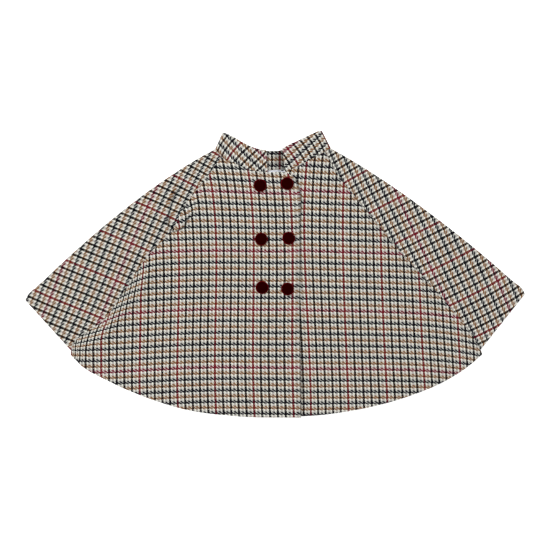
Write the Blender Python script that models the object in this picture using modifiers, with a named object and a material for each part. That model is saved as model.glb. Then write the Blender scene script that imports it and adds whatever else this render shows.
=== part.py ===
"""Child's double-breasted cape in checked wool, laid flat with its front up.

The frame has +X towards the wearer's left, +Y towards the head and +Z up from the
surface that the cape lies on. The origin is under the middle of the cape.
The side panels and the collar are strips that fold round the outer edges, so each has
an upper layer, a round fold and a lower layer that lies on the surface.
"""

import itertools
import math
from collections import namedtuple

import bmesh
import bpy
import numpy as np
from mathutils import Vector

MM = 0.001

# Cloth walls
WOOL_WALL = 2.0 * MM
COLLAR_WALL = 2.6 * MM
SATIN_WALL = 1.0 * MM
SEAM_GAP = 0.3 * MM
NECK_GAP = 0.4 * MM

# Heights of the layers above the surface, each at the top of its wall
FOLD_RADIUS = 2.8 * MM
COLLAR_FOLD_RADIUS = 3.0 * MM
UPPER_TOP = 2.0 * FOLD_RADIUS
COLLAR_TOP = 2.0 * COLLAR_FOLD_RADIUS
HEM_TOP = 4.5 * MM
HEM_PRESS = 12.0 * MM

# The overlap of the two fronts
OVERLAP_LIFT = 2.7 * MM
LIFT_START = -70.0 * MM
LIFT_END = -45.0 * MM

# The hidden lower layer is cut a little shorter than the front
BACK_SHORTER = 0.015

# Covered buttons
BUTTON_DIAMETER = 18.2 * MM
BUTTON_HEIGHT = 5.2 * MM
BUTTON_RIM = 1.6 * MM
BUTTON_WAIST_DROP = 0.9 * MM
BUTTON_WAIST_INSET = 0.4 * MM
BUTTON_BASE_INSET = 1.3 * MM
BUTTON_STEPS = 20
DOME_STEPS = 6
WELD = 0.01 * MM

# Grid steps along and across the pieces
SEAM_ROWS = 22
FRONT_COLUMNS = 15
SIDE_COLUMNS = 9
LOWER_COLUMNS = 4
FOLD_STEPS = 6
COLLAR_COLUMNS = 9
COLLAR_BACK_COLUMNS = 18
COLLAR_ROWS = 5
BACK_COLUMNS = 16
LINING_COLUMNS = 6
LINING_ROWS = 3
CURVE_SAMPLES = 120

# Rows crowd towards both ends of a seam, and columns towards the seam
ROW_CROWDING = 0.4
ROLL_COLUMNS = (0.0, 0.3, 0.65, 1.1)
SIDE_CROWDING = 1.6

# Share of a fold's length over which it fades at each end
FOLD_END_FADE = 0.18

# Stations of the outlines, in millimetres from the origin
Station = namedtuple("Station", "place across up")

RIGHT_SEAM = (
    Station("collar", -77.6, 169.3),
    Station("chest", -105.0, 132.0),
    Station("upper arm", -131.0, 98.0),
    Station("middle arm", -150.0, 62.0),
    Station("elbow", -182.0, 29.0),
    Station("forearm", -211.0, -14.0),
    Station("wrist", -247.0, -65.0),
    Station("side hem", -296.0, -111.0),
    Station("front corner", -296.5, -117.5),
)
LEFT_SEAM = (
    Station("collar", 73.0, 177.0),
    Station("chest", 90.0, 146.0),
    Station("upper arm", 121.0, 106.0),
    Station("middle arm", 153.0, 67.0),
    Station("elbow", 189.0, 24.0),
    Station("wrist", 241.0, -33.0),
    Station("side hem", 298.0, -110.0),
    Station("front corner", 301.0, -116.5),
)
RIGHT_FOLD = (
    Station("collar", -87.0, 180.8),
    Station("neck point", -103.0, 172.2),
    Station("shoulder", -161.0, 136.0),
    Station("upper arm", -238.0, 78.0),
    Station("elbow", -304.5, 20.0),
    Station("cuff", -345.0, -18.0),
    Station("cuff corner", -357.8, -29.4),
    Station("tip", -362.5, -38.0),
)
LEFT_FOLD = (
    Station("collar", 81.2, 181.8),
    Station("neck point", 98.6, 172.2),
    Station("shoulder", 157.0, 136.0),
    Station("upper arm", 238.0, 78.0),
    Station("elbow", 310.3, 20.0),
    Station("cuff", 347.0, -12.0),
    Station("cuff corner", 358.6, -21.4),
    Station("tip", 362.5, -29.0),
)
RIGHT_NECKLINE = (
    Station("collar fold", -87.0, 180.8),
    Station("seam", -77.6, 169.3),
    Station("side neck", -57.0, 159.3),
    Station("front neck", -39.0, 151.0),
    Station("collar end", -10.9, 147.1),
    Station("overlap", 15.0, 146.8),
    Station("front corner", 28.5, 139.5),
)
LEFT_NECKLINE = (
    Station("collar fold", 81.2, 181.8),
    Station("seam", 73.0, 177.0),
    Station("side neck", 55.0, 167.5),
    Station("front neck", 33.6, 156.2),
    Station("collar end", 14.8, 147.8),
    Station("overlap", -12.0, 144.2),
    Station("front corner", -32.0, 136.0),
)
BACK_NECKLINE = (
    Station("right collar fold", -87.0, 180.8),
    Station("right seam", -77.6, 169.3),
    Station("right neck", -55.0, 158.0),
    Station("centre", 0.0, 150.4),
    Station("left neck", 50.0, 163.0),
    Station("left seam", 73.0, 177.0),
    Station("left collar fold", 81.2, 181.8),
)
RIGHT_FRONT_EDGE = (
    Station("corner", 28.5, 139.5),
    Station("bust", 33.8, 127.0),
    Station("chest", 36.0, 64.0),
    Station("waist", 35.5, -42.0),
    Station("hip", 37.0, -134.0),
    Station("hem", 37.5, -208.5),
)
LEFT_FRONT_EDGE = (
    Station("corner", -32.0, 136.0),
    Station("bust", -35.0, 118.0),
    Station("chest", -36.0, 70.0),
    Station("hem", -36.0, -203.0),
)
RIGHT_HEM = (
    Station("corner", -296.5, -117.5),
    Station("side", -282.0, -132.5),
    Station("quarter", -243.5, -154.8),
    Station("third", -196.0, -176.0),
    Station("knee", -125.0, -198.0),
    Station("inner", -60.0, -206.2),
    Station("front edge", 37.5, -208.5),
)
LEFT_HEM = (
    Station("corner", 301.0, -116.5),
    Station("side", 282.0, -133.0),
    Station("quarter", 247.0, -155.5),
    Station("third", 196.0, -177.0),
    Station("knee", 115.0, -198.0),
    Station("inner", 40.0, -206.6),
    Station("front edge", -36.0, -203.0),
)
RIGHT_COLLAR_TOP = (
    Station("outer corner", -75.8, 205.8),
    Station("shoulder", -62.6, 199.7),
    Station("side", -47.9, 191.0),
    Station("front", -30.5, 182.8),
    Station("end", -12.5, 178.5),
)
LEFT_COLLAR_TOP = (
    Station("outer corner", 67.4, 208.5),
    Station("shoulder", 56.3, 204.1),
    Station("side", 36.3, 194.4),
    Station("front", 20.0, 187.0),
    Station("end", 10.2, 181.6),
)
BACK_COLLAR_TOP = (
    Station("right corner", -75.8, 205.8),
    Station("right side", -47.0, 189.8),
    Station("right dip", -20.0, 180.0),
    Station("left dip", 10.0, 179.6),
    Station("left side", 35.5, 193.0),
    Station("left corner", 67.4, 208.5),
)

# How each seam lies: wall tops beside it and how far the cloth takes to drop to it
SeamLie = namedtuple("SeamLie", "front_top side_top front_roll side_roll")
RIGHT_LIE = SeamLie(4.6 * MM, 4.6 * MM, 10.0 * MM, 6.0 * MM)
LEFT_LIE = SeamLie(4.7 * MM, 6.0 * MM, 7.0 * MM, 3.0 * MM)

# Soft folds, in millimetres: a crest from start to end, its half width and its height
Fold = namedtuple("Fold", "panel place start_x start_y end_x end_y width height")
FOLDS = (
    Fold("front_right", "roll beside the lower seam", -158.0, 34.0, -264.0, -104.0, 13.0, 4.4),
    Fold("front_right", "tuck across the seam", -124.0, 97.0, -143.0, 62.0, 7.0, 2.6),
    Fold("front_right", "swell below the chest", -92.0, 96.0, -150.0, -60.0, 30.0, 1.2),
    Fold("front_right", "swell above the hem", -205.0, -140.0, -95.0, -172.0, 22.0, 0.9),
    Fold("front_left", "swell beside the seam", 122.0, 82.0, 226.0, -52.0, 20.0, 1.8),
    Fold("front_left", "swell below the chest", 92.0, 60.0, 110.0, -120.0, 32.0, 1.0),
    Fold("front_left", "swell above the hem", 150.0, -156.0, 262.0, -122.0, 20.0, 1.1),
    Fold("side_right", "crown of the arm", -150.0, 124.0, -300.0, -30.0, 20.0, 1.1),
    Fold("side_left", "crown of the arm", 150.0, 124.0, 304.0, -24.0, 20.0, 1.2),
)

# Button centres, in millimetres
ButtonPlace = namedtuple("ButtonPlace", "name across up")
BUTTONS = (
    ButtonPlace("button_1_right", -21.6, 127.7),
    ButtonPlace("button_1_left", 17.5, 130.4),
    ButtonPlace("button_2_right", -19.9, 50.2),
    ButtonPlace("button_2_left", 19.9, 51.5),
    ButtonPlace("button_3_right", -18.7, -19.9),
    ButtonPlace("button_3_left", 18.1, -22.0),
)

# Neck lining: half width and length of the strip
LINING_HALF_WIDTH = 24.0 * MM
LINING_LENGTH = 18.0 * MM
LINING_TOP = WOOL_WALL + SEAM_GAP + SATIN_WALL

# Finishes: linear colour and roughness
Finish = namedtuple("Finish", "name colour roughness")
CHECKED_WOOL = Finish("checked_wool", (0.42, 0.38, 0.33), 0.9)
VELVET = Finish("burgundy_velvet", (0.03, 0.002, 0.004), 0.8)
SATIN = Finish("pale_satin", (0.68, 0.72, 0.80), 0.4)


def ease(amount):
    """A smooth step from 0 to 1."""
    held = min(max(amount, 0.0), 1.0)
    return held * held * (3.0 - 2.0 * held)


def smooth_line(stations, first=None, last=None):
    """A function that gives points along a smooth line through stations, between two of them."""
    places = [station.place for station in stations]
    knots = np.array([(station.across, station.up) for station in stations]) * MM
    lengths = np.concatenate(([0.0], np.cumsum(np.linalg.norm(np.diff(knots, axis=0), axis=1))))
    slopes = np.gradient(knots, lengths, axis=0)
    start = lengths[places.index(first)] if first else lengths[0]
    end = lengths[places.index(last)] if last else lengths[-1]

    def point(fraction):
        travel = start + (end - start) * fraction
        index = int(np.clip(np.searchsorted(lengths, travel) - 1, 0, len(lengths) - 2))
        span = lengths[index + 1] - lengths[index]
        t = (travel - lengths[index]) / span
        return (
            knots[index] * (1.0 + 2.0 * t) * (1.0 - t) ** 2
            + slopes[index] * span * t * (1.0 - t) ** 2
            + knots[index + 1] * t * t * (3.0 - 2.0 * t)
            + slopes[index + 1] * span * t * t * (t - 1.0)
        )

    return point


def bulge(line, t):
    """How far a line leaves its own chord at t."""
    return line(t) - (line(0.0) * (1.0 - t) + line(1.0) * t)


def patch(near, far, top, bottom, s, t):
    """A point between two side lines, bent to follow the end lines; s runs down, t across."""
    between = near(s) * (1.0 - t) + far(s) * t
    return between + bulge(top, t) * (1.0 - s) + bulge(bottom, t) * s


def strip_line(lower, upper, up):
    """The line at one height of a strip between its lower and upper lines."""
    return lambda t: lower(t) * (1.0 - up) + upper(t) * up


def moved_off(line, distance):
    """A line moved sideways, to the left of its own way where the distance is positive."""
    step = 0.5 / CURVE_SAMPLES

    def point(fraction):
        way = line(min(fraction + step, 1.0)) - line(max(fraction - step, 0.0))
        way = way / np.linalg.norm(way)
        return line(fraction) + np.array((-way[1], way[0])) * distance

    return point


def samples(line):
    """A line as an array of points."""
    return np.array([line(i / CURVE_SAMPLES) for i in range(CURVE_SAMPLES + 1)])


def distance_to(points, spot):
    """The least distance from a spot to a line's points."""
    return float(np.min(np.linalg.norm(points - spot, axis=1)))


def seam_fractions(stations):
    """Fractions along a seam for the rows of its panels, from the collar to the side hem."""
    knots = np.array([(station.across, station.up) for station in stations])
    lengths = np.cumsum(np.linalg.norm(np.diff(knots, axis=0), axis=1))
    side_hem = lengths[-2] / lengths[-1]
    even = np.linspace(0.0, 1.0, SEAM_ROWS)
    crowded = 0.5 - 0.5 * np.cos(math.pi * even)
    return list((even + (crowded - even) * ROW_CROWDING) * side_hem)


def lift(x):
    """How far the upper front is raised by the front under it."""
    return OVERLAP_LIFT * ease((x - LIFT_START) / (LIFT_END - LIFT_START))


def fold_height(panel, spot):
    """The height that the folds of a panel add at a spot."""
    total = 0.0
    for fold in FOLDS:
        if fold.panel != panel:
            continue
        start = np.array((fold.start_x, fold.start_y)) * MM
        way = np.array((fold.end_x, fold.end_y)) * MM - start
        along = float(np.dot(spot - start, way) / np.dot(way, way))
        off = np.linalg.norm(spot - (start + way * min(max(along, 0.0), 1.0))) / (fold.width * MM)
        fade = ease((along + FOLD_END_FADE) / (2.0 * FOLD_END_FADE))
        fade *= ease((1.0 + FOLD_END_FADE - along) / (2.0 * FOLD_END_FADE))
        total += fold.height * MM * fade * math.exp(-off * off)
    return total


def new_object(name, mesh, finish, collection, parent):
    """A named object with its finish, held by the cape's empty."""
    item = bpy.data.objects.new(name, mesh)
    collection.objects.link(item)
    item.parent = parent
    mesh.materials.append(finish)
    return item


def cloth(name, rows, wall, finish, collection, parent):
    """A cloth wall: a grid laid through rows of points, thickened towards its inner side."""
    shape = bmesh.new()
    bmesh.ops.create_grid(shape, x_segments=len(rows[0]) - 1, y_segments=len(rows) - 1, size=1.0)
    for vertex, place in zip(shape.verts, itertools.chain.from_iterable(rows)):
        vertex.co = place
    mesh = bpy.data.meshes.new(name)
    shape.to_mesh(mesh)
    shape.free()
    mesh.shade_smooth()
    item = new_object(name, mesh, finish, collection, parent)
    solidify = item.modifiers.new("wall", "SOLIDIFY")
    solidify.thickness = wall
    solidify.offset = -1.0
    return item


def round_the_fold(centre, edge, radius):
    """Points round a fold from above its centre, out to the edge and under again."""
    outward = (edge - centre) / np.linalg.norm(edge - centre)
    turn = []
    for i in range(FOLD_STEPS + 1):
        angle = math.pi * (0.5 - i / FOLD_STEPS)
        reach = centre + outward * radius * math.cos(angle)
        turn.append(Vector((*reach, radius + radius * math.sin(angle))))
    return turn


class FrontShape:
    """Lines and heights of one front panel."""

    def __init__(self, panel, seam, edge, neckline, hem, lie, raised):
        """Keeps the panel's lines; the seam line is the sewn one, before its gap."""
        inward = SEAM_GAP / 2.0 if panel == "front_right" else -SEAM_GAP / 2.0
        self.panel = panel
        self.rows = seam_fractions(seam) + [1.0]
        self.seam = moved_off(smooth_line(seam), inward)
        self.edge = smooth_line(edge)
        self.top = smooth_line(neckline, "seam", "front corner")
        self.bottom = smooth_line(hem)
        self.seam_points = samples(self.seam)
        self.hem_points = samples(self.bottom)
        self.lie = lie
        self.raised = raised

    def height(self, spot):
        """The outer side's height at a spot: folds, the drop to the seam and the pressed hem."""
        height = UPPER_TOP + fold_height(self.panel, spot)
        to_seam = ease(distance_to(self.seam_points, spot) / self.lie.front_roll)
        to_hem = ease(distance_to(self.hem_points, spot) / HEM_PRESS)
        height = self.lie.front_top + (height - self.lie.front_top) * to_seam
        height = HEM_TOP + (height - HEM_TOP) * to_hem
        return height + (lift(spot[0]) if self.raised else 0.0)

    def across(self, s):
        """Fractions across the panel: a few close to the seam, the rest even."""
        width = np.linalg.norm(self.edge(s) - self.seam(s))
        close = [share * self.lie.front_roll / width for share in ROLL_COLUMNS]
        even = np.linspace(close[-1], 1.0, FRONT_COLUMNS - len(close) + 2)
        return close + list(even[1:])

    def grid(self):
        """Rows of points from the collar to the hem, each from the seam to the front edge."""
        rows = []
        for s in self.rows:
            spots = [patch(self.seam, self.edge, self.top, self.bottom, s, t) for t in self.across(s)]
            rows.append([Vector((*spot, self.height(spot))) for spot in spots])
        return rows


def side_rows(panel, seam_stations, fold_stations, neckline, lie):
    """Rows of a side panel from the collar to its hem: upper layer, fold, lower layer."""
    outward = -SEAM_GAP / 2.0 if panel == "side_right" else SEAM_GAP / 2.0
    fractions = seam_fractions(seam_stations)
    seam = moved_off(smooth_line(seam_stations), outward)
    fold = smooth_line(fold_stations)
    top = smooth_line(neckline, "seam", "collar fold")
    seam_points = samples(seam)
    rows = []
    for fraction in fractions:
        s = fraction / fractions[-1]
        inner = seam(fraction)
        edge = fold(s)
        centre = edge + (inner - edge) / np.linalg.norm(inner - edge) * FOLD_RADIUS
        row = []
        for i in range(SIDE_COLUMNS):
            t = (i / SIDE_COLUMNS) ** SIDE_CROWDING
            spot = inner * (1.0 - t) + centre * t + bulge(top, t) * (1.0 - s)
            drop = ease(distance_to(seam_points, spot) / lie.side_roll)
            crown = fold_height(panel, spot) * ease(2.0 - 2.0 * t)
            height = lie.side_top + (UPPER_TOP + crown - lie.side_top) * drop
            row.append(Vector((*spot, height)))
        row += round_the_fold(centre, edge, FOLD_RADIUS)
        back_seam = inner * (1.0 - BACK_SHORTER * s)
        for i in range(1, LOWER_COLUMNS + 1):
            t = i / LOWER_COLUMNS
            spot = centre * (1.0 - t) + back_seam * t + bulge(top, 1.0 - t) * (1.0 - s)
            row.append(Vector((*spot, 0.0)))
        rows.append(row)
    return rows


def back_rows():
    """Rows of the back panel from the neck to the hem, flat on the surface."""
    right_fractions = seam_fractions(RIGHT_SEAM)
    left_fractions = seam_fractions(LEFT_SEAM)
    right_seam = moved_off(smooth_line(RIGHT_SEAM), SEAM_GAP / 2.0)
    left_seam = moved_off(smooth_line(LEFT_SEAM), -SEAM_GAP / 2.0)
    neck = smooth_line(BACK_NECKLINE, "right seam", "left seam")
    hem = smooth_line(RIGHT_HEM[:-1] + LEFT_HEM[-2::-1])
    rows = []
    for right_fraction, left_fraction in zip(right_fractions + [1.0], left_fractions + [1.0]):
        s = right_fraction
        right = right_seam(s) * (1.0 - BACK_SHORTER * s / right_fractions[-1])
        left = left_seam(left_fraction) * (1.0 - BACK_SHORTER * left_fraction / left_fractions[-1])
        row = []
        for i in range(BACK_COLUMNS + 1):
            t = i / BACK_COLUMNS
            spot = right * (1.0 - t) + left * t + bulge(neck, t) * (1.0 - s)
            spot = spot + bulge(hem, t) * (1.0 - BACK_SHORTER) * s
            row.append(Vector((*spot, 0.0)))
        rows.append(row)
    return rows


def collar_rows():
    """Rows of the collar from its top edge to the neck seam, each along the whole strip."""
    right_neck = smooth_line(RIGHT_NECKLINE, "collar end", "collar fold")
    left_neck = smooth_line(LEFT_NECKLINE, "collar end", "collar fold")
    right_top = smooth_line(RIGHT_COLLAR_TOP[::-1])
    left_top = smooth_line(LEFT_COLLAR_TOP[::-1])
    back_neck = smooth_line(BACK_NECKLINE)
    back_top = smooth_line(BACK_COLLAR_TOP)
    gap = NECK_GAP / np.linalg.norm(right_top(0.0) - right_neck(0.0))
    rows = []
    for j in range(COLLAR_ROWS):
        up = 1.0 - (1.0 - gap) * j / (COLLAR_ROWS - 1)
        right = strip_line(right_neck, right_top, up)
        left = strip_line(left_neck, left_top, up)
        back = strip_line(back_neck, back_top, up)
        right_centre, right_part = up_to_fold(right, COLLAR_FOLD_RADIUS)
        left_centre, left_part = up_to_fold(left, COLLAR_FOLD_RADIUS)
        row = [Vector((*spot, COLLAR_TOP + lift(spot[0]))) for spot in right_part]
        row += round_the_fold(right_centre, right(1.0), COLLAR_FOLD_RADIUS)
        for i in range(1, COLLAR_BACK_COLUMNS):
            row.append(Vector((*back(i / COLLAR_BACK_COLUMNS), 0.0)))
        row += round_the_fold(left_centre, left(1.0), COLLAR_FOLD_RADIUS)[::-1]
        row += [Vector((*spot, COLLAR_TOP)) for spot in left_part[::-1]]
        rows.append(row)
    return rows


def up_to_fold(line, radius):
    """The fold's centre at the end of a line, and the line's points before it."""
    edge = line(1.0)
    length = np.linalg.norm(edge - line(0.0))
    before = line(1.0 - radius / length)
    centre = edge + (before - edge) / np.linalg.norm(before - edge) * radius
    points = [line((1.0 - radius / length) * i / COLLAR_COLUMNS) for i in range(COLLAR_COLUMNS)]
    return centre, points


def lining_rows():
    """Rows of the neck lining from the neck seam down, on the back's inner side."""
    neck = smooth_line(BACK_NECKLINE, "right seam", "left seam")
    curve = samples(neck)
    rows = []
    for j in range(LINING_ROWS + 1):
        down = NECK_GAP + LINING_LENGTH * j / LINING_ROWS
        row = []
        for i in range(LINING_COLUMNS + 1):
            across = LINING_HALF_WIDTH * (2.0 * i / LINING_COLUMNS - 1.0)
            up = float(np.interp(across, curve[:, 0], curve[:, 1]))
            row.append(Vector((across, up - down, LINING_TOP)))
        rows.append(row)
    return rows


def button_profile():
    """The outline of a covered button from its crown down the outer side to its base."""
    radius = BUTTON_DIAMETER / 2.0
    dome = BUTTON_HEIGHT - BUTTON_RIM
    points = []
    for i in range(DOME_STEPS + 1):
        angle = 0.5 * math.pi * i / DOME_STEPS
        points.append((radius * math.sin(angle), BUTTON_RIM + dome * math.cos(angle)))
    points.append((radius - BUTTON_WAIST_INSET, BUTTON_RIM - BUTTON_WAIST_DROP))
    points.append((radius - BUTTON_BASE_INSET, 0.0))
    points.append((0.0, 0.0))
    return points


def button_mesh(name):
    """The profile as a line of edges, ready to be turned."""
    mesh = bpy.data.meshes.new(name)
    points = [(x, 0.0, z) for x, z in button_profile()]
    edges = [(i, i + 1) for i in range(len(points) - 1)]
    mesh.from_pydata(points, edges, [])
    return mesh


def add_button(place, front, finish, collection, parent):
    """One covered button, seated on the upper front."""
    item = new_object(place.name, button_mesh(place.name), finish, collection, parent)
    spot = np.array((place.across, place.up)) * MM
    item.location = (*spot, front.height(spot) + SEAM_GAP)
    turn = item.modifiers.new("turn", "SCREW")
    turn.axis = "Z"
    turn.steps = BUTTON_STEPS
    turn.render_steps = BUTTON_STEPS
    turn.use_merge_vertices = True
    turn.merge_threshold = WELD
    turn.use_smooth_shade = True
    return item


def new_finish(finish):
    """A principled material with the finish's colour and roughness."""
    material = bpy.data.materials.new(finish.name)
    material.use_nodes = True
    shader = material.node_tree.nodes["Principled BSDF"]
    shader.inputs["Base Color"].default_value = (*finish.colour, 1.0)
    shader.inputs["Roughness"].default_value = finish.roughness
    shader.inputs["Metallic"].default_value = 0.0
    return material


def clear_scene():
    """Removes what the scene holds."""
    for item in list(bpy.data.objects):
        bpy.data.objects.remove(item, do_unlink=True)


def build_cape():
    """Builds every piece of the cape under one empty."""
    clear_scene()
    collection = bpy.data.collections.new("cape")
    bpy.context.scene.collection.children.link(collection)
    parent = bpy.data.objects.new("cape", None)
    collection.objects.link(parent)
    wool = new_finish(CHECKED_WOOL)
    velvet = new_finish(VELVET)
    satin = new_finish(SATIN)

    front_right = FrontShape(
        "front_right", RIGHT_SEAM, RIGHT_FRONT_EDGE, RIGHT_NECKLINE, RIGHT_HEM, RIGHT_LIE, True
    )
    front_left = FrontShape(
        "front_left", LEFT_SEAM, LEFT_FRONT_EDGE, LEFT_NECKLINE, LEFT_HEM, LEFT_LIE, False
    )
    side_right = side_rows("side_right", RIGHT_SEAM, RIGHT_FOLD, RIGHT_NECKLINE, RIGHT_LIE)
    side_left = side_rows("side_left", LEFT_SEAM, LEFT_FOLD, LEFT_NECKLINE, LEFT_LIE)
    cloth("front_right", front_right.grid()[::-1], WOOL_WALL, wool, collection, parent)
    cloth("front_left", front_left.grid(), WOOL_WALL, wool, collection, parent)
    cloth("side_right", side_right, WOOL_WALL, wool, collection, parent)
    cloth("side_left", side_left[::-1], WOOL_WALL, wool, collection, parent)
    cloth("back", back_rows(), WOOL_WALL, wool, collection, parent)
    cloth("collar", collar_rows(), COLLAR_WALL, wool, collection, parent)
    cloth("neck_lining", lining_rows()[::-1], SATIN_WALL, satin, collection, parent)
    for place in BUTTONS:
        add_button(place, front_right, velvet, collection, parent)


build_cape()
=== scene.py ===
"""Looks of a child's double-breasted checked cape, laid flat with its front up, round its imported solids."""

import logging
import math
from dataclasses import dataclass
from enum import Enum
from typing import Callable, Optional, Sequence

import bmesh
import bpy
import numpy as np
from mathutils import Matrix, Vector, noise


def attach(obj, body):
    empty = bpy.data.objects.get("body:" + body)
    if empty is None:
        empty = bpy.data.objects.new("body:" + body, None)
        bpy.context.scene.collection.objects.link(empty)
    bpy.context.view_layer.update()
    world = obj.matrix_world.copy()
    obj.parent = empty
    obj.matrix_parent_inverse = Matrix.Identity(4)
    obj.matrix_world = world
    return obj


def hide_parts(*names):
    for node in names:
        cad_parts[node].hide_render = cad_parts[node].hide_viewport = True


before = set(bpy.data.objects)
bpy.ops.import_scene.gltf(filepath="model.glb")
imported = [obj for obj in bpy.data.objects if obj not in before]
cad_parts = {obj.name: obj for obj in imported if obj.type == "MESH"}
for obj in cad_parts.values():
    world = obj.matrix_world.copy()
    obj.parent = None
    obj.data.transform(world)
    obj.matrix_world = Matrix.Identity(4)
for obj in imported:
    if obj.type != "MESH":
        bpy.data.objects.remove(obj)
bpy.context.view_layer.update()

log = logging.getLogger("cape")
logging.basicConfig(level=logging.INFO, format="%(message)s")

MM = 0.001
BODY = "root"
WEAVE_MAP = "weave"
SHADED = "shaded"
PAINTED_SHEEN_RIM = "rim"

Array = np.ndarray
Line = Callable[[Array], Array]
Socket = bpy.types.NodeSocket
Colour = tuple[float, float, float]

# Cloth walls and heights, as the solids have them
WOOL_WALL = 2.0 * MM
COLLAR_WALL = 2.6 * MM
SATIN_WALL = 1.0 * MM
SEAM_GAP = 0.3 * MM
NECK_GAP = 0.4 * MM
FOLD_RADIUS = 2.8 * MM
COLLAR_FOLD_RADIUS = 3.0 * MM
UPPER_TOP = 2.0 * FOLD_RADIUS
COLLAR_TOP = 2.0 * COLLAR_FOLD_RADIUS
HEM_TOP = 4.5 * MM
HEM_PRESS = 12.0 * MM
OVERLAP_LIFT = 2.7 * MM
LIFT_START = -70.0 * MM
LIFT_END = -45.0 * MM
BACK_SHORTER = 0.015
FOLD_END_FADE = 0.18
CURVE_SAMPLES = 160

# Rounding of the walls' edges: share of the wall, steps, and the least angle that is rounded
EDGE_SHARE = 0.36
EDGE_SEGMENTS = 3
EDGE_ANGLE = math.radians(55.0)
WELD = 0.01 * MM
TINY = 1e-9

# The check: cloth from one dark line to the next, and from one navy row to the next
LINE_PITCH = 11.1 * MM
ROW_PITCH = 16.9 * MM


class Held(str, Enum):
    """How a piece of cloth is held."""

    LAID = "laid"
    FOLDED = "folded"


class Slot(str, Enum):
    """Finishes that the record names."""

    WOOL = "checked_wool"
    VELVET = "burgundy_velvet"
    SATIN = "pale_satin"


class Side(Enum):
    """A side of the wearer, with the sign of its place across."""

    RIGHT = -1.0
    LEFT = 1.0


@dataclass(frozen=True)
class Station:
    """A point of an outline, in millimetres from the middle of the cape."""

    place: str
    across: float
    up: float


@dataclass(frozen=True)
class SeamLie:
    """How a seam lies: wall tops beside it and how far the cloth takes to drop to it, in metres."""

    front_top: float
    side_top: float
    front_roll: float
    side_roll: float


@dataclass(frozen=True)
class Fold:
    """A soft fold: the crest's start and end, its half width and its height, in millimetres."""

    place: str
    start: tuple[float, float]
    end: tuple[float, float]
    width: float
    height: float

    def heights(self, spots: Array) -> Array:
        """Gives the height that the fold adds.

        Args:
            spots: Plan places in metres, (..., 2).

        Returns:
            Heights in metres.
        """
        start = np.array(self.start) * MM
        way = np.array(self.end) * MM - start
        along = (spots - start) @ way / (way @ way)
        foot = start + np.clip(along, 0.0, 1.0)[..., None] * way
        off = np.linalg.norm(spots - foot, axis=-1) / (self.width * MM)
        fade = ease((along + FOLD_END_FADE) / (2.0 * FOLD_END_FADE))
        fade = fade * ease((1.0 + FOLD_END_FADE - along) / (2.0 * FOLD_END_FADE))
        return self.height * MM * fade * np.exp(-off * off)


@dataclass(frozen=True)
class Droop:
    """Cloth beside a seam that hangs towards a crease, in millimetres.

    It starts at the top, is deepest at the foot, and reaches further from the seam on its way down.
    The cloth hangs fully over a first share of its reach, then fades out over a second share.
    """

    top: float
    foot: float
    depth: float
    near: float
    far: float
    full_share: float = 0.4
    fade_share: float = 1.2

    def lengths(self, spots: Array, from_seam: Array) -> Array:
        """Gives how far the cloth hangs.

        Args:
            spots: Plan places in metres, (..., 2).
            from_seam: Their distances from the seam in metres.

        Returns:
            Lengths in metres.
        """
        fall = np.clip((self.top - spots[..., 1] / MM) / (self.top - self.foot), 0.0, 1.0)
        half = self.near + (self.far - self.near) * fall * fall
        share = ease(1.0 - (from_seam / MM - self.full_share * half) / (self.fade_share * half))
        return self.depth * MM * fall * share


@dataclass(frozen=True)
class Crease:
    """A sharp crease: a narrow trough along a path, with the cloth raised on the left of its way.

    Sizes are in millimetres; the rise fades over its own width.
    """

    place: str
    path: tuple[tuple[float, float], ...]
    trough: float
    trough_width: float
    rise: float = 0.0
    rise_width: float = 8.0
    slip: float = 0.0
    slip_width: float = 11.0
    gather: float = 0.0
    gather_width: float = 3.0
    # Painted shade along the crease: strength and half width.
    shade: float = 0.0
    shade_width: float = 0.9
    droop: Optional[Droop] = None

    def _left(self, along: Array) -> Array:
        """Gives the share of the crease that is left towards its ends."""
        return ease(np.minimum(along, 1.0 - along) / FOLD_END_FADE)

    def slipped(self, spots: Array, seam: Array) -> Array:
        """Gives the flat cloth's places, which gather at the crease, slip sideways and hang above it.

        Args:
            spots: Plan places in metres, (..., 2).
            seam: The seam's points.

        Returns:
            Moved places.
        """
        points = np.array(self.path) * MM
        distance, side, along = beside(points, spots)
        offset = distance * side / MM
        above = ease(0.5 + offset / self.trough_width)
        from_seam = beside(seam, spots)[0]
        near = np.exp(-((distance**2 + from_seam**2) / (self.slip_width * MM) ** 2))
        moved = spots.copy()
        moved[..., 0] -= self.slip * MM * near * above
        way = points[-1] - points[0]
        left = np.array((-way[1], way[0])) / np.linalg.norm(way)
        reach = offset / self.gather_width
        fade = self._left(along)
        moved += (self.gather * MM * reach * np.exp(-reach * reach) * fade)[..., None] * left
        if self.droop:
            held = above + (1.0 - above) * (1.0 - ease((1.0 - along) / (2.0 * FOLD_END_FADE)))
            moved[..., 1] += self.droop.lengths(spots, from_seam) * held
        return moved

    def shaded(self, spots: Array) -> Array:
        """Gives how deep in its own shade the cloth is along the crease.

        Args:
            spots: Plan places in metres, (..., 2).

        Returns:
            Shares, 0 to 1.
        """
        distance, _, along = beside(np.array(self.path) * MM, spots)
        fade = self._left(along)
        return self.shade * fade * np.exp(-((distance / (self.shade_width * MM)) ** 2))

    def heights(self, spots: Array) -> Array:
        """Gives the height that the crease adds.

        Args:
            spots: Plan places in metres, (..., 2).

        Returns:
            Heights in metres.
        """
        points = np.array(self.path) * MM
        distance, side, along = beside(points, spots)
        fade = self._left(along)
        offset = distance * side / MM
        trough = -self.trough * np.exp(-(offset / self.trough_width) ** 2)
        reach = np.clip(offset, 0.0, None) / self.rise_width
        rise = self.rise * ease(offset / self.trough_width) * np.exp(-reach * reach)
        return (trough + rise) * MM * fade


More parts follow.
